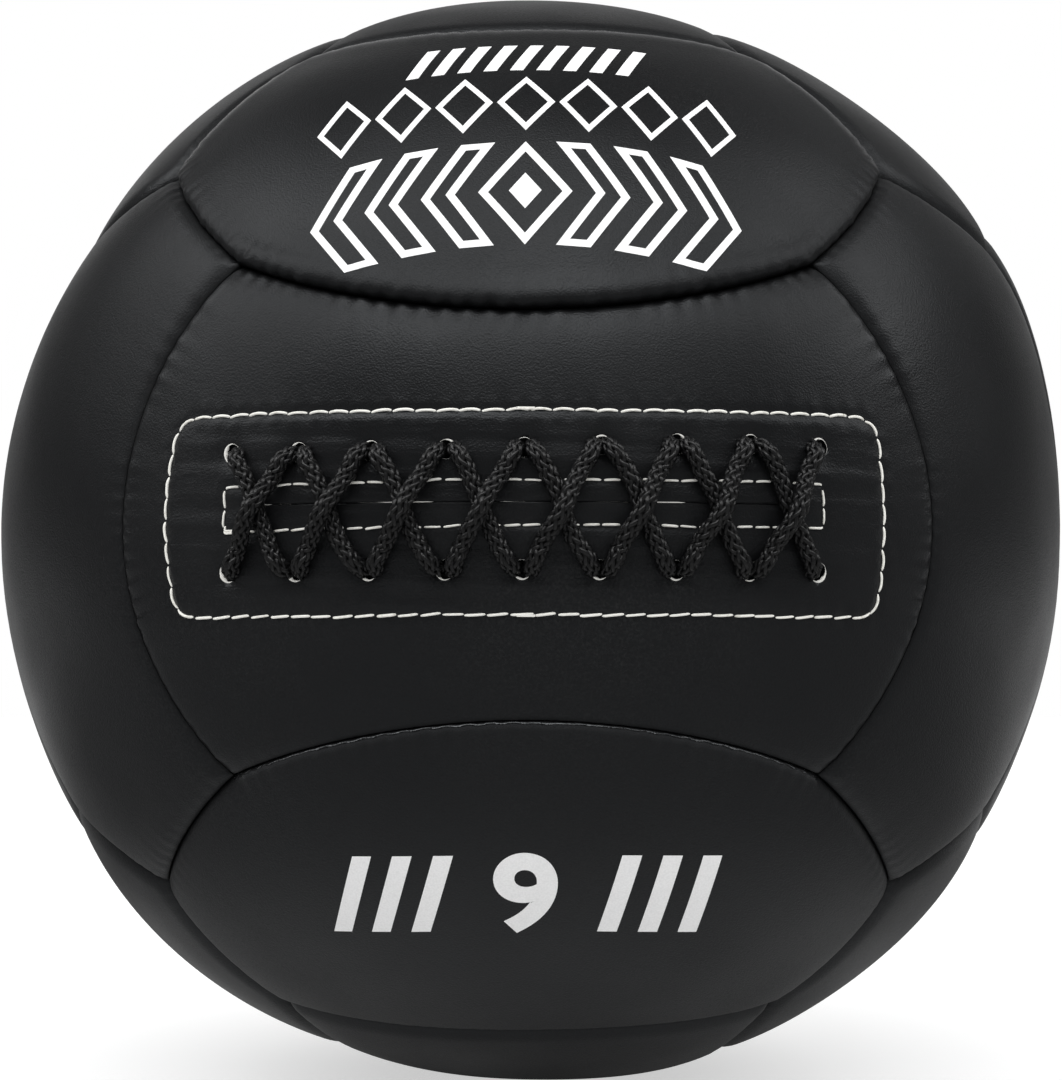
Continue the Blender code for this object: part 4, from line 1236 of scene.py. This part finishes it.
def floor():
    """A plain white sweep: the camera sees it white, apart from the ball's own shadow.

    In reflections only, it is painted: a darker colour, with a painted glow in a paler ring round the ball's
    foot and a pale part behind the ball.
    """
    signs = ((-1, -1), (1, -1), (1, 1), (-1, 1))
    corners = [(x * FLOOR_REACH, y * FLOOR_REACH, -FLOOR_GAP) for x, y in signs]
    mesh = bpy.data.meshes.new("floor")
    mesh.from_pydata(corners, [], [(0, 1, 2, 3)])
    material, tree, shader = start_material("floor_white", (0.60, 0.60, 0.60), Roughness=0.8)
    shader.inputs["Emission Color"].default_value = (1, 1, 1, 1)
    paths = place(tree, "ShaderNodeLightPath").outputs
    from_foot = own_place(tree)
    apart = place(tree, "ShaderNodeVectorMath", {0: from_foot}, operation="LENGTH").outputs["Value"]
    sides = place(tree, "ShaderNodeSeparateXYZ", {0: from_foot}).outputs
    # Painted reflection: a glow that only reflections see, behind the ball and in a ring round its foot.
    behind = ramp(tree, maths(tree, "MULTIPLY_ADD", sides["X"], 0.22, sides["Y"]), 0.1, 0.6, 0.0, 0.45)
    rising = ramp(tree, apart, 0.04, 0.13, 0.08, 0.36)
    falling = ramp(tree, apart, 0.15, 0.27, 0.36, 0.05)
    painted_glow = maths(tree, "ADD", maths(tree, "MINIMUM", rising, falling), behind)
    reflected = maths(tree, "MULTIPLY", paths["Is Glossy Ray"], painted_glow)
    seen = maths(tree, "MULTIPLY_ADD", paths["Is Camera Ray"], 0.55, reflected)
    # Painted reflection: to reflections the floor's colour is darker than it is to light.
    colour = blend_colours(tree, paths["Is Glossy Ray"], (0.60, 0.60, 0.60), (0.12, 0.12, 0.12))
    feed(tree, shader, Emission_Strength=seen, Base_Color=colour)
    mesh.materials.append(material)
    add_object("floor", mesh)


def studio_world():
    """White to the eye, with a grey fill.

    In reflections it is a pale tent behind the ball and a dim room before it.
    """
    world = bpy.data.worlds.new("studio")
    bpy.context.scene.world = world
    world.use_nodes = True
    tree = world.node_tree
    paths = place(tree, "ShaderNodeLightPath").outputs
    way = place(tree, "ShaderNodeTexCoord").outputs["Generated"]
    sides = place(tree, "ShaderNodeSeparateXYZ", {0: way}).outputs
    backward = maths(tree, "MULTIPLY_ADD", maths(tree, "ABSOLUTE", sides["Z"]), 0.25, sides["Y"])
    tent = ramp(tree, backward, 0.74, 1.05, ROOM_LIGHT, TENT_LIGHT)
    plain = maths(tree, "MAXIMUM", paths["Is Camera Ray"], paths["Is Transmission Ray"])
    reflected = place(tree, "ShaderNodeMix", {0: paths["Is Glossy Ray"], 2: FILL_LIGHT, 3: tent}).outputs[0]
    level = place(tree, "ShaderNodeMix", {0: plain, 2: reflected, 3: 1.0}).outputs[0]
    feed(tree, tree.nodes["Background"], Strength=level)
    tree.nodes["Background"].inputs["Color"].default_value = (1, 1, 1, 1)


def look(at, towards):
    """The turn that points a camera or a lamp from one place to another."""
    return (Vector(towards) - Vector(at)).to_track_quat("-Z", "Y").to_euler()


def soft_light(name, at, size, power):
    """A rectangular lamp that points at the ball."""
    lamp = bpy.data.lights.new(name, "AREA")
    lamp.shape = "RECTANGLE"
    lamp.size, lamp.size_y = size
    lamp.energy = power
    made = add_object(name, lamp)
    made.location = at
    made.rotation_euler = look(at, (0, 0, 0.2))


def camera():
    """At the photograph's place: level with the ball's lower front, five half heights from its middle."""
    rise, turn = math.radians(CAMERA_RISE), math.radians(CAMERA_TURN)
    way = np.array([math.sin(turn) * math.cos(rise), -math.cos(turn) * math.cos(rise), math.sin(rise)])
    lens = bpy.data.cameras.new("camera")
    lens.sensor_width = 36
    lens.lens = FOCAL_PIXELS / PHOTO_HEIGHT * lens.sensor_width
    made = add_object("camera", lens)
    made.location = CENTRE + way * CAMERA_AWAY * HALF_SIZES[2]
    made.rotation_euler = look(made.location, CENTRE)
    bpy.context.scene.camera = made


def build():
    leather = cover_leather("black_leather")
    cord, thread = braided_cord("black_cord"), white_thread("white_thread")
    strips = all_strips()
    skins = {name: cover_panel(strip, leather) for name, strip in strips.items()}
    front = strips["front_panel"]
    cut_lacing(skins["front_panel"])
    front_sheet("lacing_patch", PATCH_SIZE, *PATCH_DEPTHS, leather)
    front_sheet("tongue", TONGUE_SIZE, *TONGUE_DEPTHS, leather)
    braided_lace(cord)
    stitches("patch_stitches", "patch_stitching", PATCH_SEWING, PATCH_STITCH, front, thread)
    stitches("slit_stitches", "slit_stitching", SLIT_SEWING, SLIT_STITCH, front, thread)
    backing, ink = cut_backing("cut_backing"), print_ink("white_ink")
    hole_edges(front, backing)
    slit_edge(front, backing)
    printed("chevron_print", chevron_print(), strips["front_upper_panel"], CHEVRONS_UP, ink)
    printed("number_print", number_print(), strips["front_lower_panel"], NUMBER_UP, ink)
    finishes = {
        "cover": leather,
        "cord": cord,
        "thread": thread,
        "foam": stuffing("grey_foam", (0.16, 0.16, 0.17), (0.24, 0.24, 0.25), 900.0, 0.0004),
        "canvas": stuffing("canvas", (0.38, 0.35, 0.28), (0.50, 0.47, 0.38), 1400.0, 0.0002),
        "fibre": stuffing("textile_fibre", (0.20, 0.19, 0.18), (0.42, 0.41, 0.40), 260.0, 0.002),
        "shot": stuffing("sand_and_shot", (0.20, 0.17, 0.13), (0.36, 0.31, 0.25), 700.0, 0.001),
    }
    for part in frame["record"]["subparts"]:
        node = frame["nodes"][part["node"]]
        node.data.materials.clear()
        node.data.materials.append(finishes[part["material_slot"]])
    floor()
    studio_world()
    soft_light("key", (-0.15, -1.25, 1.95), (2.4, 1.0), 23)
    soft_light("left", (-1.9, -0.35, 1.75), (1.4, 1.4), 13)
    soft_light("right", (1.9, -0.35, 1.75), (1.4, 1.4), 12)
    camera()
    bpy.context.scene.view_settings.view_transform = "Standard"


build()
